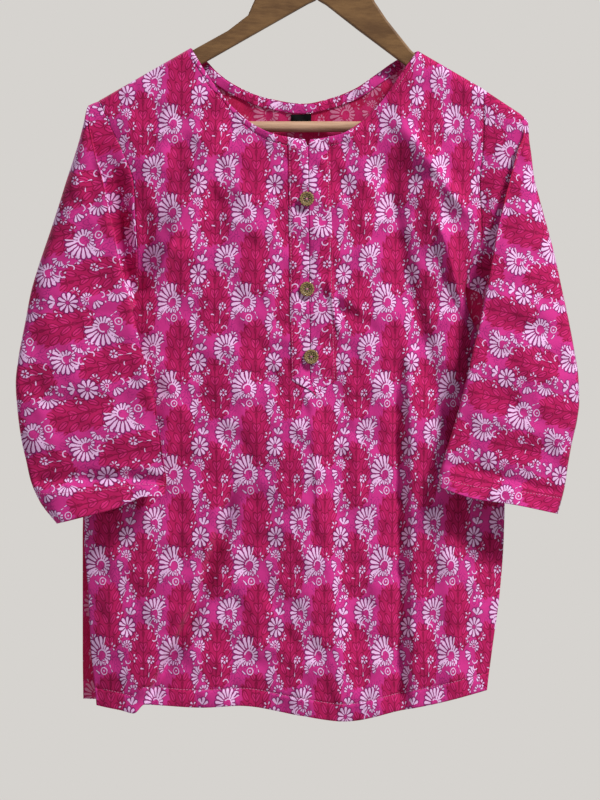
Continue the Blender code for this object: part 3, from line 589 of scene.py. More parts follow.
# %% White motifs
# centre x, y, then rings: petals, reach, half length, half width, facing, arc
RING = 1e5
WHITE_MOTIFS = {
    "daisy": (0, 0, (10, 6.3, 4.5, 14.4, 15, 360)),
    "tulip": (3.6, 11.5, (8, 4.8, 3.8, 18.5, 78, 120)),
    "tulip_leaf": (6, 18.5, (2, 4.2, 3, 16, 62, 360)),
    "bud_spray": (4.8, 26.5, (9, 4.2, 1.8, 15, 105, 190)),
    "chain_fan": (1, 40.5, (15, 7.6, 4.6, 9.8, 170, 140), (10, 4.2, 2, 14, -20, 110)),
    "half_flower": (-0.5, -19.5, (11, 4.6, 2, 13, 60, 260), (1, 1.8, 0.4, RING, 0, 360)),
    "fat_petals": (-2.4, -26.8, (13, 6.4, 4, 11.3, 198, 90)),
    "crescent_one": (0.5, -34, (1, 3.1, 0.6, RING, 270, 170)),
    "crescent_two": (0.6, -41, (1, 2.7, 0.6, RING, 250, 170)),
    "dots": (-7, -39, (2, 2, 1, 34, 100, 360)),
    "side_fan": (34.6, 14, (17, 10.6, 5.4, 8.7, 135, 210), (13, 6.4, 2.8, 11.2, 15, 150),
                 (1, 4.2, 0.7, RING, 60, 170)),
    "side_fan_foot": (37, 10.5, (11, 4.4, 2, 13, 235, 140)),
    "curl": (29.5, -0.5, (1, 3.2, 0.7, RING, 95, 190), (4, 3.4, 1.4, 18, 200, 200)),
    "fan_small": (45.5, -1.5, (13, 5.4, 2.8, 11, 135, 130)),
    "chevrons": (39.5, -6, (8, 3.4, 2, 15, 190, 200)),
    "dots_low": (46, -14, (3, 2.2, 0.9, 22, 90, 360)),
    "crescent_side": (33.5, -11, (1, 3, 0.6, RING, 300, 150)),
    "big_fan": (-31.6, -28.6, (19, 13.2, 6.6, 7.8, 150, 150), (16, 7.6, 3.6, 9.2, 20, 150),
                (1, 5, 0.8, RING, 80, 200)),
    "big_fan_foot": (-33, -32, (12, 5.2, 2.6, 12, 235, 120)),
    "ring": (-29.8, -45, (1, 3.5, 0.55, RING, 0, 360), (1, 0, 1.1, RING, 0, 360)),
    "feather": (-42.5, -42, (16, 6.4, 2.9, 8.5, 140, 170), (1, 6.5, 3.4, 7, -40, 360)),
    "star": (-28, -35.6, (6, 2.4, 1.6, 20, 90, 360)),
    "dash": (-20.9, -42.2, (2, 2.2, 2, 13, 115, 360)),
    "grass": (26.5, -44, (2, 4, 2.8, 8, 85, 360), (5, 9, 2.2, 5, 95, 150)),
    "grass_head": (29.5, -33, (6, 2.8, 1.5, 22, 30, 360)),
    "hook": (31.5, 35, (1, 3, 0.65, RING, 80, 190)),
    "chain_leaf": (-8, 11, (5, 3.2, 1.8, 16, 130, 230)),
    "chain_leaf_low": (9, -9.5, (7, 3.4, 1.8, 14, -40, 200)),
    "side_spray": (42, 27, (8, 3.8, 1.9, 14, 60, 240)),
    "side_drops": (26.5, 26, (5, 3.4, 1.9, 15, 200, 200)),
    "fan_spray": (-41.5, -13, (8, 3.8, 2, 13, 110, 220)),
    "fan_drops": (-19.5, -20.5, (6, 3.2, 1.6, 14, 20, 220)),
    "bud_low": (7.5, -31.5, (5, 2.9, 1.5, 19, 0, 220)),
    "chain_bits_one": (-7.5, -12.5, (6, 2.8, 1.6, 20, 170, 230)),
    "chain_bits_two": (8, 33.5, (6, 2.8, 1.6, 20, 10, 230)),
    "chain_bits_three": (-5.5, 27.5, (5, 2.6, 1.5, 22, 180, 220)),
    "side_bits_one": (26.5, 7, (6, 2.8, 1.6, 20, 200, 230)),
    "side_bits_two": (40, -18, (6, 3, 1.7, 20, 250, 230)),
    "fan_bits": (-39, -36, (5, 2.6, 1.5, 22, 200, 230)),
}


def white_print(finish, place):
    """The least distance from every white motif, each a row of the table above."""
    return extreme(finish, "MINIMUM", [motif(finish, place, *row) for row in WHITE_MOTIFS.values()])


print("white motifs in a repeat:", len(WHITE_MOTIFS))

# %% [markdown]
# Between the white chains stand the bushes. Each is an upright oval with a
# ragged edge, full of slanting leaves on both sides of a stem. Every leaf is
# an ellipse in leaning coordinates. The sideways distance loses its sign, so
# the two sides mirror each other, and wrapping repeats the leaves in columns
# that are staggered by half a step.

# %% Bushes
BUSHES = ((-22.0, 10.4), (19.8, -29.3))
BUSH_HALF = (18.5, 34.5)
# half width of the stem, then a leaf's width and the step from leaf to leaf
STEM = 1.2
BUSH_LEAF = (8.6, 14.6)
TWIG_LEAF = (5.4, 9.0)
LEAF_LEAN = math.radians(30)


def leaves(finish, side, rise, wide, tall):
    """Distance from the nearest leaf and from its vein.

    The first is a^2 + b^2, 0 in a leaf's middle and 1 on its outline, with a and b as the
    places across and along it. They are turned by the lean and wrapped to one leaf, and
    every second column of leaves moves up by half a leaf.
    """
    across = side * math.cos(LEAF_LEAN) - rise * math.sin(LEAF_LEAN)
    along = side * math.sin(LEAF_LEAN) + rise * math.cos(LEAF_LEAN)
    number = finish.math("FLOOR", across * (1 / wide))
    a = finish.math("WRAP", across, wide, 0.0) * (3.0 / wide) - 1.5
    b = finish.math("WRAP", along + number * (tall / 2), tall / 2, -tall / 2) * (2.35 / tall)
    return finish.math("MULTIPLY_ADD", a, a, b * b), abs(a)


def bush(finish, place, centre):
    """Cover of a bush, its leaves and the dark lines in it, all from 0 to 1."""
    dx, dy, _ = finish.split(from_nearest(finish, place, *centre))
    side = abs(dx)
    leaf, vein = leaves(finish, side - STEM, dy, *BUSH_LEAF)
    wide = side * (1 / BUSH_HALF[0])
    tall = dy * (1 / BUSH_HALF[1])
    tall = tall * tall
    oval = wide * wide + tall * tall + finish.math("MINIMUM", leaf, 2.2) * 0.2
    cover = finish.ease(oval, 1.2, 1.08)
    lines = extreme(finish, "MAXIMUM", [
        finish.ease(abs(leaf - 0.98), 0.40, 0.14),
        finish.ease(vein, 0.24, 0.08) * finish.ease(leaf, 0.8, 0.5),
        finish.ease(side, 0.9, 0.4)])
    inside = finish.ease(leaf, 0.9, 0.6)
    return cover, inside * cover, lines * cover


print("bushes in a repeat:", len(BUSHES), "each", [2 * half for half in BUSH_HALF], "mm")

# %% [markdown]
# ## Printed cotton
#
# The right side of the cotton shows the print at full strength. Its hand-made
# look comes from bending the cloth's coordinates a little before the motifs are
# drawn, and from ink that is not even. The weave and the small crumples are
# bumps. The reverse shows the same print through the cloth, redder and duller,
# and glows faintly in its own colour, for the light that thin cotton lets through.

# %% Cotton, right side and reverse
PINK = colour(204, 52, 140)
PINK_DEEP = colour(190, 44, 126)
LEAF = colour(172, 20, 84)
LEAF_PALE = colour(202, 40, 116)
LEAF_DARK = colour(126, 8, 58)
WHITE = colour(228, 186, 230)
OUTLINE = colour(98, 20, 90)
REVERSE = colour(160, 20, 62)
REVERSE_GLOW = 0.16
THREADS_A_METRE = 1500.0


def printed_cotton(name, reverse=False):
    """The print over cloth coordinates, with weave and crumple as bump."""
    cotton = Finish(name, Roughness=0.85, Sheen_Weight=0.06, Sheen_Roughness=0.5,
                    Specular_IOR_Level=0.15)
    cloth = cotton.node("UVMap", {"uv_map": "cloth"})
    flat = cotton.vector("MULTIPLY", cloth, (1 / MM,) * 3)
    shake = cotton.noise(flat, 0.22, 1.0, output=1)
    shift = cotton.vector("SUBTRACT", shake, (0.5, 0.5, 0.5))
    place = cotton.vector("MULTIPLY_ADD", shift, (1.8, 1.8, 0.0), flat)

    white = white_print(cotton, place)
    petal = cotton.ease(white, 0.78, 0.46)
    edge = cotton.ease(white, 2.2, 1.1)
    both = [bush(cotton, place, centre) for centre in BUSHES]
    cover, inside, lines = (extreme(cotton, "MAXIMUM", pair) for pair in zip(*both))

    uneven = cotton.noise(flat, 0.035, 3.0)
    ground = cotton.blend(uneven, PINK_DEEP, PINK)
    ink = cotton.noise(flat, 0.5, 2.0)
    px, py, _ = cotton.split(place)
    twig, _ = leaves(cotton, abs(cotton.math("WRAP", px, 15.0, -15.0)), py, *TWIG_LEAF)
    busy = cotton.ease(cotton.noise(flat, 0.05, 1.0), 0.42, 0.56)
    shown = cotton.blend(cotton.ease(abs(twig - 0.9), 0.42, 0.12) * busy * 0.55, ground, OUTLINE)
    shown = cotton.blend(cover * (0.76 + 0.36 * ink), shown, LEAF)
    shown = cotton.blend(inside * 0.8, shown, LEAF_PALE)
    shown = cotton.blend(lines * 0.9, shown, LEAF_DARK)
    shown = cotton.blend(edge * 0.8, shown, OUTLINE)
    shown = cotton.blend(petal, shown, WHITE)
    if reverse:
        shown = cotton.blend(0.72, shown, REVERSE)
        cotton.show(Emission_Color=shown, Emission_Strength=REVERSE_GLOW)

    warp, weft, _ = cotton.split(cotton.vector("MULTIPLY", cloth, (2 * math.pi * THREADS_A_METRE,) * 3))
    weave = cotton.math("SINE", warp) * cotton.math("SINE", weft)
    height = cotton.noise(flat, 0.055, 3.0) + cotton.noise(flat, 0.17, 2.0) * 0.3 + weave * 0.012
    return cotton.show((height, 0.5, 0.0012), Base_Color=shown)


cotton_right = printed_cotton("printed_cotton_right_side")
cotton_wrong = printed_cotton("printed_cotton_reverse", reverse=True)
print("nodes in the cotton:", len(cotton_right.node_tree.nodes))

# %% [markdown]
# ## Front and back
#
# The columns of a panel run from its upper edge to its hem. They crowd a
# little at the sides, where the cloth turns, and about the neck points and the
# V, which are sharp corners.

# %% Panels
NECK_COLUMNS = (-4.0, -1.5, 0.0, 1.5, 4.0)
NOTCH_COLUMNS = (-2.4, -1.6, -0.8, 0.0, 0.8, 1.6, 2.4)
TOP_ROWS = (0.0, 0.5, 1.1, 2.0, 3.4, 5.4, 7.4, 8.2, 8.6, 9.0, 9.4, 9.8, 10.8, 12.6, 15.5, 19.0)
HEM_ROWS = (20.5, 18.7, 18.3, 18.0, 17.7, 17.3, 15.0, 11.5, 8.0, 4.5, 1.8, 0.7, 0.0)
NECK_TURNING = 9.0
HEM_TURNING = 18.0
HEM_GUESS = -830.0
EDGE_ROUNDS = 60
PULL = 0.24


def turned_edge(distance, width, pull, reach):
    """Height of an edge that is turned in and stitched down: double cloth up to the
    stitch line, a groove along it, a rounded fold at the very edge, and the puckers
    where the thread pulls, exp(-(distance / reach)^2) from the stitch line."""
    double = 0.45 * (1 - smoothstep(width - 0.6, width + 0.6, distance))
    groove = 0.8 * np.exp(-((distance - width) / 0.8) ** 2)
    edge = 0.9 * np.exp(-np.maximum(distance, 0) / 0.7)
    return double - groove - edge + pull * np.exp(-((distance - width) / reach) ** 2)


def panel_grid(columns, rows, neck, hem, left, right, extra=()):
    """x, z and stitched relief over a panel. Along a column, x runs between the side
    lines in the share u, and z runs from the upper edge to the hem. Both edges are found
    by steps of half the way, because x itself depends on the height."""
    even = np.linspace(0, 1, columns)
    u = 0.55 * even + 0.45 * (1 - np.cos(np.pi * even)) / 2
    (near_x, near_z), (far_x, far_z) = SHOULDER["left_neck"], SHOULDER["right_neck"]
    start = left(near_z)
    width = right(far_z) - start
    for middle, offsets in ((near_x, NECK_COLUMNS), (far_x, NECK_COLUMNS), *extra):
        close = (middle + np.array(offsets) - start) / width
        u = np.concatenate([u[(u < close[0] - 0.003) | (u > close[-1] + 0.003)], close])
    u = np.sort(u)[None, :]
    top = np.full_like(u, SHOULDER["left_tip"][1])
    foot = np.full_like(u, HEM_GUESS)
    for _ in range(EDGE_ROUNDS):
        x_top = left(top) + u * (right(top) - left(top))
        inside = (x_top > near_x) & (x_top < far_x)
        top = 0.5 * top + 0.5 * np.where(inside, neck(x_top), shoulder_line(x_top))
        foot = 0.5 * foot + 0.5 * hem(left(foot) + u * (right(foot) - left(foot)))
    near = np.array(TOP_ROWS)[:, None]
    low = np.array(HEM_ROWS)[:, None]
    share = np.linspace(0, 1, rows - len(near) - len(low) + 2)[1:-1, None]
    first, last = top - near[-1], foot + low[0]
    z = np.vstack([top - near, first + (last - first) * share, foot + low])
    x = left(z) + u * (right(z) - left(z))
    at_neck = smoothstep(-1.0, 4.0, np.minimum(x[0] - near_x, far_x - x[0]))
    pull = PULL * np.sin(0.8 * x + 2 * np.sin(0.17 * x) + 0.1 * z)
    near_neck = turned_edge(top - z, NECK_TURNING, pull, 4)
    return x, z, near_neck * at_neck + turned_edge(z - foot, HEM_TURNING, pull, 6)


x, z, relief = panel_grid(204, 226, front_neck, front_hem, left_of_front, right_of_front,
                          [(NOTCH["x"], NOTCH_COLUMNS)])
front_points = np.stack([x, front_y(x, z) - relief, z], axis=-1)
front = cloth_piece("front", grid_mesh("front", front_points, front_cloth(x, z)),
                    materials=(cotton_right, cotton_wrong))
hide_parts("front_panel")

x, z, relief = panel_grid(150, 180, back_neck, back_hem, left_of_back, right_of_back)
back_points = np.stack([x, back_y(x, z) + relief, z], axis=-1)
back = cloth_piece("back", grid_mesh("back", back_points, back_cloth(x, z), flip=True),
                   materials=(cotton_right, cotton_wrong))
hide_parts("back_panel")

# %% [markdown]
# ## Sleeves
#
# A sleeve is a tube that hangs flat. Each row of the table is one section,
# from the shoulder down: the outer edge, the fold nearest the body and the
# armhole seam. The section starts on the front of the armhole, goes into the
# shaded recess, out to the fold, over the front and round the outer edge. The
# sleeves are cut across the cloth, so their chains of flowers run across.

# %% Sleeve tables
# outer x, z, y; fold x, z, y; seam x, z; front face y; recess y; back face y
SLEEVE_LEFT = (
    (-239, -214, 0, -233.5, -211.5, -1.35, -228.6, -209.5, -1.35, -1.35, 1.35),
    (-240.5, -218, 0, -235.5, -216, -7, -227, -213, -7, -7, 7),
    (-242, -224, 0, -236.5, -225, -9, -222.5, -221.5, -8.5, -8.4, 8.6),
    (-243.5, -231, 0, -237, -234, -11, -218.4, -231, -10, -8.6, 9.6),
    (-247, -245, 0, -234, -250, -15, -210.2, -249, -14, -8.2, 11),
    (-252, -262, 0, -230, -267, -19, -201.4, -268, -17, -5, 12),
    (-261, -290, -2, -223, -292, -23, -192.6, -293, -21, 1, 12),
    (-269, -316, -3, -218, -318, -25, -191.2, -318, -23, 4, 12),
    (-278, -344, -5, -212, -345, -27, -189.7, -345, -25, 5, 11),
    (-288, -374, -8, -206, -375, -29, -188.4, -375, -27, 4, 8),
    (-297, -405, -12, -198, -406, -31, -186, -405.6, -29, 0.4, 2),
    (-303, -438, -16, -189, -440, -33, -198, -438, -31, -22, -9),
    (-309, -470, -20, -181, -472, -35, -190, -472, -33, -27, -15),
    (-312, -498, -22, -174, -499, -36, -183, -499, -34, -28, -18),
    (-310, -527, -23, -168, -527, -36, -177, -527, -34, -28, -19),
    (-306, -556, -24, -164, -554, -36, -173, -554, -34, -28, -19),
    (-301, -578, -24, -161, -576, -35, -170, -576, -33, -28, -19),
    (-297, -596, -24, -158, -597, -33, -168, -596, -31, -27, -19),
    (-287, -619, -25, -159, -605, -36, -168, -604, -35, -29, -20),
    (-270, -641, -26, -160, -613, -38, -169, -612, -38, -30, -21),
)
SLEEVE_RIGHT = (
    (210, -229, 0, 203, -222.5, -1.35, 165.6, -197.5, -1.35, -1.35, 1.35),
    (211, -233, 0, 205, -227, -7, 165.6, -201.5, -7, -7, 7),
    (211.5, -239, 0, 206.5, -235, -9, 165.6, -208, -8.5, -8.4, 8.6),
    (212, -248, 0, 206, -245, -12, 165.6, -222, -10, -8.8, 9.6),
    (214, -262, 0, 200, -260, -15, 165.4, -246, -14, -9.4, 11),
    (217, -286, 0, 193, -284, -17, 164, -276, -17, -10.4, 12),
    (223, -311, -2, 187, -309, -19, 162.4, -306, -20, -10.8, 12),
    (230, -337, -4, 180, -336, -22, 166.6, -334, -23, -9, 11),
    (238, -368, -7, 174, -368, -26, 166.4, -367, -26, -4, 8),
    (245, -402, -12, 168, -401, -32, 161, -403.6, -30, 0.4, 2),
    (252, -436, -17, 161, -435, -35, 170, -435, -33, -24, -10),
    (257, -464, -21, 154, -462, -37, 163, -462, -35, -28, -16),
    (261, -490, -23, 148, -488, -38, 157, -488, -36, -29, -19),
    (262, -516, -24, 141, -516, -38, 150, -516, -36, -30, -20),
    (260, -534, -25, 136, -534, -38, 145, -534, -36, -30, -20),
    (254, -561, -25, 128, -560, -38, 137, -560, -36, -30, -20),
    (250, -584, -25, 122, -580, -37, 131, -580, -35, -30, -20),
    (247, -604, -25, 119, -590, -35, 128, -590, -34, -29, -20),
    (243, -620, -26, 119, -596, -37, 128, -595, -37, -30, -21),
    (240, -631, -26, 119, -603, -39, 128, -601, -39, -31, -22),
)
UNDERARM_ROW = {"left": 10, "right": 9}
CUFF_RISE = {"left": (5.0, 0.22, 0.16), "right": (-4.0, 0.30, 0.25)}
SLEEVE_CLEAR = 3.0
SEAM_APART = 0.25
# z and x of three points from right to left, height, reach below and above, fade
CREASES_SLEEVE = {
    "left": {
        "elbow": (-425, -196, -425, -220, -423, -246, -2.2, 4, 3, 14),
        "elbow_roll": (-415, -198, -417, -222, -416, -262, 1.8, 5, 9, 20),
        "upper_roll": (-352, -212, -362, -238, -372, -268, 1.6, 9, 8, 20),
        "middle_roll": (-474, -186, -486, -238, -478, -296, 1.8, 12, 9, 26),
        "middle_hollow": (-512, -178, -520, -236, -510, -300, -1.6, 9, 10, 26),
        "low_roll": (-546, -172, -556, -232, -548, -296, 1.5, 9, 11, 26),
        "cuff_groove": (-601, -152, -594, -208, -598, -296, -3, 4, 6, 10),
        "cuff_band": (-610, -152, -604, -208, -612, -296, 1.6, 9, 5, 10),
        "cuff_flare": (-638, -150, -628, -208, -650, -296, 7, 12, 18, 10),
        "cuff_fold": (-590, -160, -583, -196, -588, -236, 2, 4, 6, 14),
    },
    "right": {
        "upper_roll": (-330, 230, -322, 208, -318, 188, 1.6, 7, 9, 12),
        "elbow_roll": (-432, 252, -420, 212, -412, 170, 1.9, 9, 8, 20),
        "elbow_hollow": (-452, 254, -442, 212, -436, 168, -1.8, 7, 8, 20),
        "middle_roll": (-498, 262, -484, 208, -476, 156, 1.7, 11, 9, 24),
        "low_roll": (-556, 256, -542, 198, -532, 140, 1.6, 9, 11, 24),
        "low_hollow": (-578, 252, -566, 194, -558, 134, -1.4, 8, 8, 24),
        "cuff_groove": (-614, 256, -596, 190, -580, 122, -2, 3, 5, 10),
        "cuff_flare": (-644, 256, -624, 190, -610, 122, 5, 12, 17, 10),
        "cuff_band": (-622, 256, -604, 190, -588, 122, 1.1, 9, 5, 10),
    },
}
# a daisy on the sleeve, the way along it in (x, z), the repeat along and across
SLEEVE_PRINT = {"left": ((-259.1, -416.3), (0.222, -0.975), 90.6, 94.0),
                "right": ((205.3, -408.4), (-0.204, -0.979), 86.2, 75.5)}
print("sections of a sleeve:", len(SLEEVE_LEFT), "and", len(SLEEVE_RIGHT))

# %% Sleeve surface
INNER, FRONT, BACK = 27, 46, 42
SLEEVE_ROWS, CUFF_ROWS, CUFF_SPAN = 104, 24, 2.2


def outward_on(side):
    """The way out from the body along x: -1 on the left and 1 on the right."""
    return -1.0 if side == "left" else 1.0


def sleeve_grid(table, side):
    """Sections of a sleeve. The recess swings from the seam to the fold and a little
    way under it. The front runs from the fold to the outer edge as the root of
    1 - s^blunt, and the back returns to the seam the same way. Below the underarm the
    two ends meet."""
    last = len(table) - 1
    number = np.concatenate([np.linspace(0, last - CUFF_SPAN, SLEEVE_ROWS, endpoint=False),
                             np.linspace(last - CUFF_SPAN, last, CUFF_ROWS)])[:, None]
    steps = np.arange(len(table))
    cols = [smooth_curve(steps, [row[k] for row in table])(number) for k in range(11)]
    ox, oz, oy, kx, kz, ky, ax, az, fy, ry, by = cols
    underarm = UNDERARM_ROW[side]
    outward = outward_on(side)
    armhole = left_of_front(az) if side == "left" else right_of_front(az)
    recessed = SEAM_APART * smoothstep(3, 6, number)
    joined = number > underarm
    bx = np.where(joined, ax, armhole + outward * SEAM_APART)
    ax = np.where(joined, ax, armhole + outward * (SEAM_APART + recessed))
    below = smoothstep(underarm - 0.5, underarm + 0.8, number)
    start = smoothstep(0.0, 0.6, number)
    seam_front = np.where(number < underarm, front_y(ax, az), ry)
    seam_front = -SEAM_Y + (seam_front + SEAM_Y) * start
    seam_back = np.where(number < underarm, back_y(bx, az), by)
    seam_back = SEAM_Y + (seam_back - SEAM_Y) * start

    s = 1 - (1 - np.linspace(0, 1, INNER, endpoint=False)[None, :]) ** 1.8
    power = 5 * (1 - below) + 1.4 * below
    turn = np.clip((s - 0.9) / 0.1, 0, 1)
    under = smoothstep(1.5, 4.5, number) * (1 - below)
    run = s + under * (np.minimum(s / 0.9, 1) + 0.10 * np.sin(np.pi * turn) - s)
    rise = s ** power + under * (smoothstep(0, 1, turn) - s ** power)
    bowl = seam_front + (ry - seam_front) * smoothstep(0.0, 0.55, s)
    inner_part = (ax + (kx - ax) * run, bowl + (ky - bowl) * rise, az + (kz - az) * s)

    blunt = 4 + 30 * (1 - smoothstep(0.0, 3.5, number))
    even = np.linspace(0, 1, FRONT)[None, :]
    s = 0.5 * even + 0.5 * np.sin(np.pi / 2 * even)
    face = ky + (fy - ky) * smoothstep(0.0, 0.3, s)
    front_part = (kx + (ox - kx) * s, oy + (face - oy) * np.sqrt(1 - s ** blunt), kz + (oz - kz) * s)

    even = np.linspace(0, 1, BACK + 1)[None, 1:]
    s = 0.5 * even + 0.5 * (1 - np.cos(np.pi / 2 * even))
    y_back = oy + (by - oy) * np.sqrt(1 - (1 - s) ** blunt)
    y_back = y_back + (seam_back - y_back) * smoothstep(0.75, 1.0, s)
    back_part = (ox + (bx - ox) * s, y_back, oz + (az - oz) * s)

    x, y, z = (np.hstack(parts) for parts in zip(inner_part, front_part, back_part))
    for part in (x, y, z):
        part[joined[:, 0], -1] = part[joined[:, 0], 0]
    over = smoothstep(underarm, underarm + 1, number)
    over = over * ((x > left_of_front(z) - 3) & (x < right_of_front(z) + 3))
    limit = front_y(x, z) - SLEEVE_CLEAR
    y = y + (np.minimum(y, limit) - y) * over
    amount, where, reach = CUFF_RISE[side]
    across = np.clip((x - kx) / (ox - kx), 0, 1)
    near_cuff = smoothstep(len(table) - 5, len(table) - 1, number)
    z = z + amount * np.exp(-((across - where) / reach) ** 2) * near_cuff
    on_face = smoothstep(0.0, 6.0, outward * (x - kx)) * smoothstep(0.0, 8.0, outward * (ox - x))
    height = fold_height(CREASES_SLEEVE[side], z, x) + 0.9 * crumple(x + 300, z)
    in_front = np.arange(x.shape[1])[None, :] < INNER + FRONT
    height = np.where(in_front, height, -0.6 * crumple(z, x))
    return x, y - height * on_face * smoothstep(1.0, 3.5, number), z


def sleeve_cloth(x, y, z, side):
    """Flat place on a sleeve. Along it, the place is read straight off. Across, the
    length of the section is added up from the fold, so the print wraps round."""
    (px, pz), (ax, az), along_repeat, across_repeat = SLEEVE_PRINT[side]
    along = (x - px) * ax + (z - pz) * az
    across = (x - px) * -az + (z - pz) * ax
    step = np.sqrt(np.diff(across, axis=1) ** 2 + np.diff(y, axis=1) ** 2)
    length = np.hstack([np.zeros((len(x), 1)), np.cumsum(step, axis=1)])
    across = across[:, [INNER]] + outward_on(side) * (length - length[:, [INNER]])
    return np.stack([-along / along_repeat * TILE[0], -across / across_repeat * TILE[1]], axis=-1)


sleeve_shapes = {}
for side, table in (("left", SLEEVE_LEFT), ("right", SLEEVE_RIGHT)):
    x, y, z = sleeve_grid(table, side)
    sleeve_shapes[side] = np.stack([x, y, z], axis=-1)
    mesh = grid_mesh("sleeve_on_the_" + side, sleeve_shapes[side], sleeve_cloth(x, y, z, side),
                     flip=(side == "left"), weld=0.02)
    cloth_piece(mesh.name, mesh, materials=(cotton_right, cotton_wrong))
    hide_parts("sleeve_" + side)

# %% [markdown]
# ## Placket
#
# The front opening is closed by two strips that meet under the buttons. Each is
# a folded strip of the same cotton, stitched down along its edges and boxed at
# the foot, where it ends in a point. A sewn strip is highest between its
# stitch lines, so the strip's lift is a low arch.

# %% Placket strips
SLIT_TOP_X = -14.0
SLIT_FOOT = (-12.0, -494.0)
STRIP_TIP = (-4.0, -512.0)
STRIP_WIDTH = 21.0
STRIP_FOOT = {"left": 19.5, "right": 27.0}
STRIP_GAP = 0.15
STRIP_ROWS, STRIP_COLUMNS, TIP_ROWS = 120, 22, 12
# the place on each strip that shows one spot of the print, and the way up it is cut
STRIP_PRINT = {"left": (-23.0, -329.0, 1), "right": (-1.5, -337.0, -1)}
STRIP_SPOT = (36.0, 17.0)
STRIP_REPEAT = 88.0


def strip_grid(sign, foot_width):
    """x, z and lift of one strip. It runs down the slit and is drawn in to the tip."""
    foot_x, foot_z = SLIT_FOOT
    tip_x, tip_z = STRIP_TIP
    t = np.linspace(0, 1, STRIP_ROWS)[:, None]
    across = np.linspace(0, 1, STRIP_COLUMNS)[None, :]
    width = STRIP_WIDTH + (foot_width - STRIP_WIDTH) * t
    x = SLIT_TOP_X + (foot_x - SLIT_TOP_X) * t + sign * (STRIP_GAP + across * width)
    z_top = front_neck(x[0])
    z = z_top + (foot_z - z_top) * t
    end = np.linspace(0, 1, TIP_ROWS)[1:, None]
    point_x = tip_x + sign * STRIP_GAP + (x[-1] - tip_x) * 0.12
    point_x = point_x + (x[-1] - point_x) * across[0] * 0.85
    point_z = tip_z + (foot_z - tip_z) * across[0] * 0.82
    x = np.vstack([x, x[-1] + (point_x - x[-1]) * end])
    z = np.vstack([z, foot_z + (point_z - foot_z) * end])
    down = np.concatenate([t[:, 0], 1 + 0.08 * end[:, 0]])[:, None]
    arch = 0.25 + 0.95 * smoothstep(1.0, 0.8, across) - 0.4 * np.exp(-across / 0.04)
    arch = arch - 0.3 * np.exp(-((across - 0.88) / 0.035) ** 2)
    arch = arch * (0.5 + 0.5 * smoothstep(0.0, 0.012, down)) + 0.12
    pucker = 0.2 * np.sin(z * 0.95 + 1.7 * np.sin(z * 0.21)) * np.exp(-((across - 0.9) / 0.14) ** 2)
    pucker = pucker * smoothstep(1.0, 0.94, across)
    return x, z, arch + pucker


def strip_cloth(x, z, side):
    """Flat place on a strip. The one on the right is cut the other way up."""
    at_x, at_z, way = STRIP_PRINT[side]
    across, along = way * (x - at_x), way * (z - at_z) * TILE[1] / STRIP_REPEAT
    return np.stack([STRIP_SPOT[0] + across, STRIP_SPOT[1] + along], axis=-1)


strip_shapes = {}
for side, foot_width in STRIP_FOOT.items():
    sign = outward_on(side)
    x, z, lift = strip_grid(sign, foot_width)
    strip_shapes[side] = np.stack([x, front_y(x, z) - lift, z], axis=-1)
    mesh = grid_mesh("strip_" + side, strip_shapes[side], strip_cloth(x, z, side), flip=(sign < 0))
    strip = cloth_piece(mesh.name, mesh, 0.5, (cotton_right, cotton_wrong))
    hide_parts("placket_left" if sign < 0 else "placket_right")

# %% [markdown]
# ## Binding and label
#
# Inside the back neckline lies a narrow binding, cut from the same cotton with
# its right side showing. A small black woven label is sewn on below it.

# %% Back binding
FACING_ENDS = (-116.0, 78.0)
FACING_WIDTH = 9.6
FACING_LIFT = 2.0
FACING_STRETCH = 1.2
FACING_START = (12.0, 60.0)

x = np.linspace(*FACING_ENDS, 150)[None, :]
slope = (back_neck(x + 1) - back_neck(x - 1)) / 2
down = 1.0 + FACING_WIDTH * np.linspace(0, 1, 12)[:, None]
length = np.sqrt(1 + slope ** 2)
px = x + down * slope / length
pz = back_neck(x) - down / length
swell = 0.35 * np.sqrt(1 - (2 * (down - 1) / FACING_WIDTH - 1) ** 4)
points = np.stack([px, back_y(px, pz) - FACING_LIFT - swell, pz], axis=-1)
flat = np.stack([x * FACING_STRETCH + FACING_START[0] + 0 * down,
                 FACING_START[1] - down + 0 * x], axis=-1)
binding = cloth_piece("neck_binding", grid_mesh("neck_binding", points, flat), 0.4,
                      (cotton_right, cotton_wrong))
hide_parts("neck_facing_back")

# %% Label
def woven_label():
    """Black satin: fine ribs across, with painted light on their tops and painted shade between them, a
    soft sheen and nothing written on it.
    """
    satin = Finish("black_woven_label", Roughness=0.75, Specular_IOR_Level=0.1)
    ribs = satin.waves("Z", 700.0, Distortion=0.3, Detail=1.0)
    # painted light and shade: the ribs are lighter on top and darker between them
    shown = satin.blend(ribs, colour(5, 5, 7), colour(16, 15, 18))
    return satin.show((ribs, 0.4, 0.0001), Base_Color=shown)


LABEL_TOP = (-21.3, -222.5)
LABEL_SIZE = (20.8, 8.4)
LABEL_LIFT = 1.5
u = np.linspace(-1, 1, 40)[None, :]
v = np.linspace(0, 1, 16)[:, None]
x = LABEL_TOP[0] + LABEL_SIZE[0] / 2 * u + 0 * v
z = LABEL_TOP[1] - LABEL_SIZE[1] * v + 0.3 * u
swell = 0.5 * (1 - u ** 8) * np.sin(np.pi * np.clip(v, 0.05, 1.0) * 0.8)
points = np.stack([x, back_y(x, z) - LABEL_LIFT - swell, z], axis=-1)
label = cloth_piece("woven_label", grid_mesh("woven_label", points), 0.3, (woven_label(),))
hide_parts("size_label")

# %% [markdown]
# ## Wood and steel
#
# The hanger's arms are stained dark, with the grain along them; its bar is bare
# wood. Grain is a noise stretched along the piece. The hook is plain wire.

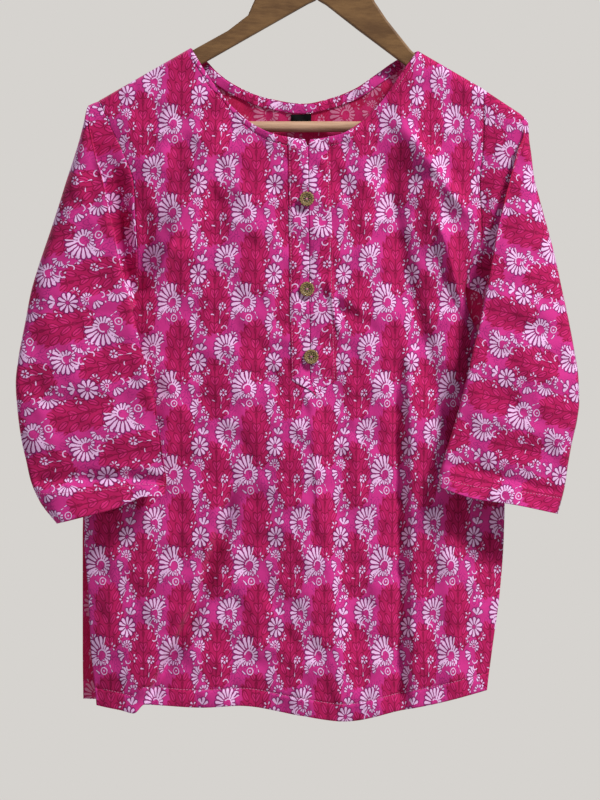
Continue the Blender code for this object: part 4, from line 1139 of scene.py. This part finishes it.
# %% Finishes of the hanger
def wood(name, dark, light, grain, rough):
    """Long grain: noise drawn out along x, a finer one on top, and both as bump."""
    timber = Finish(name, Roughness=rough, Coat_Weight=0.1)
    stretched = timber.vector("MULTIPLY", timber.place(), grain)
    wide = timber.noise(stretched, 1.0, 5.0)
    fine = timber.noise(stretched, 7.0, 3.0)
    share = timber.ease(wide * 0.7 + fine * 0.3, 0.35, 0.65)
    return timber.show((fine, 0.25, 0.0004), Base_Color=timber.blend(share, dark, light))


stained = wood("stained_hanger_wood", colour(94, 66, 38), colour(124, 92, 56), (14, 60, 60), 0.45)
bare = wood("bare_bar_wood", colour(152, 118, 92), colour(190, 154, 128), (10, 150, 150), 0.5)
steel = Finish("bright_wire", Base_Color=colour(200, 200, 200), Metallic=1.0, Roughness=0.28)
scratch = steel.noise(steel.place(), 900.0, 2.0)
wire = steel.show(Roughness=steel.ease(scratch, 0.0, 1.0) * 0.2 + 0.2)

FITTED = {"hanger_arm_left": stained, "hanger_arm_right": stained, "hanger_bar": bare,
          "hanger_hook": wire}
for node, material in FITTED.items():
    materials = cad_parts[node].data.materials
    materials.clear()
    materials.append(material)
print("solids given a finish:", len(FITTED))

# %% [markdown]
# ## Buttons
#
# Three wooden buttons, turned and then carved: a raised rim with scallops, a
# star of petals inside it, and two holes with the thread that holds them.

# %% Button surface
BUTTONS = {"button_top": (-15.5, -310.0), "button_middle": (-15.2, -402.0),
           "button_bottom": (-11.0, -471.0)}
BUTTON_RADIUS = 7.5
STRIP_TOP = 1.5
UNDER = np.linspace(-6.0, 6.0, 7)
PETALS, CUTS = 8, 14
BUTTON_BACK = {}
for node, (x, z) in BUTTONS.items():
    under = front_y(*np.meshgrid(x + UNDER, z + UNDER))
    BUTTON_BACK[node] = float(under.min()) - STRIP_TOP


def button_grid(rings=44, around=96):
    """Radius, angle, height over the back and depth of carving.

    The height is a rim on a dish, less eight carved petals, ((1 + cos(8 angle)) / 2)^0.8,
    a scalloped groove inside the rim and fourteen cuts in its edge.
    """
    r = np.linspace(0, 1, rings)[:, None]
    a = np.linspace(0, 2 * np.pi, around, endpoint=False)[None, :]
    rim = smoothstep(0.60, 0.70, r) * (1 - smoothstep(0.93, 1.0, r) * 0.75)
    petals = (0.5 + 0.5 * np.cos(PETALS * a)) ** 0.8
    petals = petals * smoothstep(0.16, 0.26, r) * (1 - smoothstep(0.46, 0.58, r))
    scallop = smoothstep(0.05, 0.01, np.abs(r - 0.70 - 0.05 * np.cos(PETALS * a)))
    edge_cuts = smoothstep(0.35, 0.85, np.cos(CUTS * a)) * smoothstep(0.80, 0.92, r)
    holes = sum(np.exp(-(((r * np.cos(a) - s * 0.2) ** 2 + (r * np.sin(a)) ** 2) / 0.012) ** 2)
                for s in (-1, 1))
    carved = 0.8 * petals + 0.9 * scallop + 0.7 * edge_cuts
    height = 1.75 + 0.75 * rim - carved * 0.5 - 1.5 * holes
    # the holes count twice in this depth, which darkens the wood: their dark is painted shade
    depth = np.clip(carved + 2.0 * holes, 0, 1)
    return r, a, height, depth


print("petals and cuts on a button:", PETALS, CUTS)

# %% Buttons
def make_button(name, x, z, back, material):
    """A closed surface: the carved face, the rounded side and a flat back."""
    r, a, height, depth = button_grid()
    side = np.array([1.0, 0.97, 0.9, 0.45, 0.0])[:, None]
    low = np.array([1.0, 0.45, 0.0, 0.0, 0.0])[:, None]
    radius = np.vstack([r + 0 * a, side + 0 * a]) * BUTTON_RADIUS
    tall = np.vstack([height, low * height[-1:, :]])
    px = x + radius * np.cos(a)
    pz = z + radius * np.sin(a)
    points = np.stack([px, back - tall, pz], axis=-1)
    mesh = grid_mesh(name, points, closed=True, weld=0.01, outward=True)
    co = np.zeros(len(mesh.vertices) * 3, np.float32)
    mesh.vertices.foreach_get("co", co)
    co = co.reshape(-1, 3) / MM
    rr = np.hypot(co[:, 0] - x, co[:, 2] - z) / BUTTON_RADIUS
    aa = np.mod(np.arctan2(co[:, 2] - z, co[:, 0] - x), 2 * np.pi)
    ring = np.clip(np.round(rr * (len(depth) - 1)).astype(int), 0, len(depth) - 1)
    turn = np.round(aa / (2 * np.pi) * depth.shape[1]).astype(int) % depth.shape[1]
    layer = mesh.attributes.new("carving", "FLOAT", "POINT")
    layer.data.foreach_set("value", depth[ring, turn].astype(np.float32))
    return add_piece(name, mesh, material)


def carved_wood():
    """Olive-brown wood, darker in whatever is carved, with painted shade in the two holes."""
    timber = Finish("carved_button_wood", Coat_Weight=0.15)
    carving = timber.node("Attribute", {"attribute_name": "carving"}, {}, 2)
    grain = timber.noise(timber.vector("MULTIPLY", timber.place(), (900.0, 900.0, 260.0)), 1.0, 3.0)
    base = timber.blend(grain, colour(118, 96, 54), colour(166, 140, 88))
    # darker in the carving, and painted shade in the two holes
    shown = timber.blend(timber.ease(carving, 0.06, 0.4) * 0.9, base, colour(40, 30, 18))
    return timber.show((grain, 0.3, 0.0001), Base_Color=shown, Roughness=grain * 0.2 + 0.4)


button_wood = carved_wood()
for node, (x, z) in BUTTONS.items():
    name = node.replace("button_", "carved_button_")
    button = make_button(name, x, z, BUTTON_BACK[node], button_wood)
    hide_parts(node)
print("buttons:", len(BUTTONS), "each", 2 * BUTTON_RADIUS, "mm across")

# %% [markdown]
# ## Stitches
#
# The turned edges, the strips and the cuffs are stitched down with a light
# thread. One stitch is a tiny loaf. All the stitches of a seam are one mesh,
# worked out together from where they lie, which way they run and which way is
# out of the cloth.

# %% Stitch mesh
STITCH, THREAD, STEP = 2.3, 0.55, 3.1


def stitch_mesh(name, place, along, out, length):
    """Loaves: along them the radius is sqrt(1 - t^2), and around them it is an ellipse."""
    side = np.cross(along, out)
    t = np.array([-0.75, 0.0, 0.75])[None, :, None, None]
    a = np.linspace(0, 2 * np.pi, 6, endpoint=False)[None, None, :, None]
    p, d, o, w = (v[:, None, None, :] for v in (place, along, out, side))
    around = (w * np.cos(a) + o * np.sin(a) * 0.8) * THREAD / 2
    rings = p + d * t * length / 2 + around * np.sqrt(1 - t ** 2)
    ends = np.stack([place - along * length / 2, place + along * length / 2], axis=1)
    points = np.concatenate([rings.reshape(len(place), 18, 3), ends], axis=1)
    i = np.arange(6)
    j = (i + 1) % 6
    quads = np.concatenate([np.stack([i + k, j + k, j + k + 6, i + k + 6], axis=1) for k in (0, 6)])
    tips = np.concatenate([np.stack([i, np.full(6, 18), j], axis=1),
                           np.stack([j + 12, np.full(6, 19), i + 12], axis=1)])
    base = 20 * np.arange(len(place))[:, None, None]
    faces = (quads + base).reshape(-1, 4).tolist() + (tips + base).reshape(-1, 3).tolist()
    mesh = bpy.data.meshes.new(name)
    mesh.from_pydata((points.reshape(-1, 3) * MM).tolist(), [], faces)
    return mend(mesh, outward=True)


def unit(vectors):
    """Vectors of length 1 the same way."""
    return vectors / np.linalg.norm(vectors, axis=1, keepdims=True)


def spaced(path, normals):
    """Even steps along a path by its length: places, directions and outward normals."""
    length = np.concatenate([[0], np.cumsum(np.linalg.norm(np.diff(path, axis=0), axis=1))])
    at = np.arange(STEP / 2, length[-1], STEP)
    place, ahead, out = (np.stack([np.interp(where, length, row) for row in line.T], axis=1)
                         for where, line in ((at, path), (at + 0.5, path), (at, normals)))
    along = unit(ahead - place + 1e-9)
    return place, along, unit(out - along * (out * along).sum(axis=1, keepdims=True))


def thread_finish():
    """Twisted cotton thread: pale pink, with painted shade between its turns."""
    thread = Finish("stitching_thread", Roughness=0.7, Sheen_Weight=0.2)
    twist = thread.waves("DIAGONAL", 900.0, Distortion=1.0)
    # painted shade: the thread is darker where the twist is low, between its turns
    shown = thread.blend(twist, colour(196, 88, 146), colour(232, 150, 192))
    return thread.show((twist, 0.3, 0.0001), Base_Color=shown)


def sew(name, place, along, out, length=STITCH):
    """One seam's stitches as a piece."""
    piece = add_piece(name, stitch_mesh(name, place, along, out, length), thread_material)


thread_material = thread_finish()
print("a stitch is", STITCH, "mm of every", STEP)

# %% Seam lines
SUNK = 0.2
CUFF_PROUD = 0.12
# from x to x in so many points, the edge and the turning up from it, the panel's
# surface and the way it faces
PANEL_SEAMS = {
    "front_neck_left": (-127, -36.592, 125, plain_front_neck, -NECK_TURNING, front_y, -1.0),
    "front_neck_right": (8.612, 91, 114, plain_front_neck, -NECK_TURNING, front_y, -1.0),
    "front_hem": (-224, 166, 300, front_hem, HEM_TURNING, front_y, -1.0),
    "back_hem": (-238, 156, 300, back_hem, HEM_TURNING, back_y, 1.0),
}
# rows and columns of a strip, and how far the seam stands off them
STRIP_SEAMS = {"edge": (slice(4, 120), 19, 0.05), "foot": (118, slice(1, 20), 0.1),
               "neck": (5, slice(1, 20), 0.1)}
CUFF_SEAM = (113, slice(18, 110))


def facing(path, y):
    """A path with its normals, which all point along y."""
    return path, np.tile([0.0, y, 0.0], (len(path), 1))


def cuff_seam(points, outward):
    """A seam along one row of a sleeve, with normals from its grid."""
    row, some = CUFF_SEAM
    down = points[row + 1, some] - points[row - 1, some]
    normal = unit(np.cross(down, np.gradient(points[row, some], axis=0))) * outward
    return points[row, some] + normal * CUFF_PROUD, normal


seams = {}
for name, (first, last, count, edge, turning, surface, way) in PANEL_SEAMS.items():
    x = np.linspace(first, last, count)
    z = edge(x) + turning
    seams[name] = facing(np.stack([x, surface(x, z) - way * SUNK, z], axis=-1), way)
for side, points in strip_shapes.items():
    for part, (rows, columns, lift) in STRIP_SEAMS.items():
        seams["strip_" + part + "_" + side] = facing(points[rows, columns] - (0.0, lift, 0.0), -1.0)
for side, points in sleeve_shapes.items():
    seams["cuff_" + side] = cuff_seam(points, outward_on(side))
for name, seam in seams.items():
    sew("stitches_" + name, *spaced(*seam))
print("seams stitched:", len(seams))

# %% Thread through the buttons
BUTTON_STITCH = 3.6
BUTTON_THREADS = ((1.75, -0.35), (1.8, 0.35))
for node, (x, z) in BUTTONS.items():
    place = np.array([(x, BUTTON_BACK[node] - rise, z + off) for rise, off in BUTTON_THREADS])
    along = np.tile([1.0, 0.0, 0.0], (2, 1))
    sew("thread_" + node, place, along, facing(place, -1.0)[1], BUTTON_STITCH)
print("buttons sewn on:", len(BUTTONS))

# %% [markdown]

# %% [markdown]
# ## Floor and light
#
# A pale floor lies well below the hem. The main light comes from the upper
# right, as from a window, and is large enough for soft shadows. A weaker one
# behind the kurta picks out its edges, and a faint cool one and the pale
# surroundings fill the rest.

# %% Stage
# the place that the lights are turned to, the floor's half size and its depth
LIT = (-0.02, 0.0, -0.5)
FLOOR_HALF, FLOOR_Z = 1600.0, -1500.0


def area_light(name, place, size, power, tint):
    """A square light at a place, turned towards what it lights."""
    light = bpy.data.lights.new(name, "AREA")
    light.size = size
    light.energy = power
    light.color = tint
    obj = bpy.data.objects.new(name, light)
    bpy.context.scene.collection.objects.link(obj)
    obj.location = place
    away = np.subtract(place, LIT)
    away = away / np.linalg.norm(away)
    obj.rotation_euler = (math.acos(away[2]), 0, math.atan2(away[1], away[0]) + math.pi / 2)


area_light("key", (2.95, -2.48, 3.4), 1.0, 398.0, (1.0, 0.97, 0.94))
area_light("behind", (-2.0, 2.4, 1.1), 1.2, 60.0, (1.0, 0.98, 0.96))
area_light("fill", (-1.5, -1.9, -0.3), 1.6, 5.0, (0.93, 0.95, 1.0))

world = bpy.data.worlds.new("surroundings")
world.use_nodes = True
tree = world.node_tree
path, either, dim = (tree.nodes.new("ShaderNode" + kind)
                     for kind in ("LightPath", "MixShader", "Background"))
seen = tree.nodes["Background"]
# the camera sees the surroundings at full strength, and the kurta is lit by less
for node, tint, strength in ((dim, (214, 211, 212), 0.3), (seen, (214, 211, 207), 1.0)):
    node.inputs["Color"].default_value = colour(*tint)
    node.inputs["Strength"].default_value = strength
for out, into in ((path.outputs["Is Camera Ray"], either.inputs[0]),
                  (dim.outputs[0], either.inputs[1]), (seen.outputs[0], either.inputs[2]),
                  (either.outputs[0], tree.nodes["World Output"].inputs[0])):
    tree.links.new(out, into)
bpy.context.scene.world = world
bpy.context.scene.view_settings.view_transform = "Standard"

x, y = np.meshgrid(*[np.linspace(-FLOOR_HALF, FLOOR_HALF, 9)] * 2)
floor_mesh = grid_mesh("floor", np.stack([x, y, np.full_like(x, FLOOR_Z)], axis=-1))
floor = bpy.data.objects.new("floor", floor_mesh)
plaster = Finish("pale_floor", Roughness=0.9)
mottled = plaster.noise(plaster.place(), 6.0, 4.0)
shown = plaster.blend(mottled, colour(186, 184, 180), colour(196, 194, 190))
floor_mesh.materials.append(plaster.show(Base_Color=shown))
bpy.context.scene.collection.objects.link(floor)
print("lights:", len(bpy.data.lights), "and a floor", FLOOR_Z * MM, "m down")
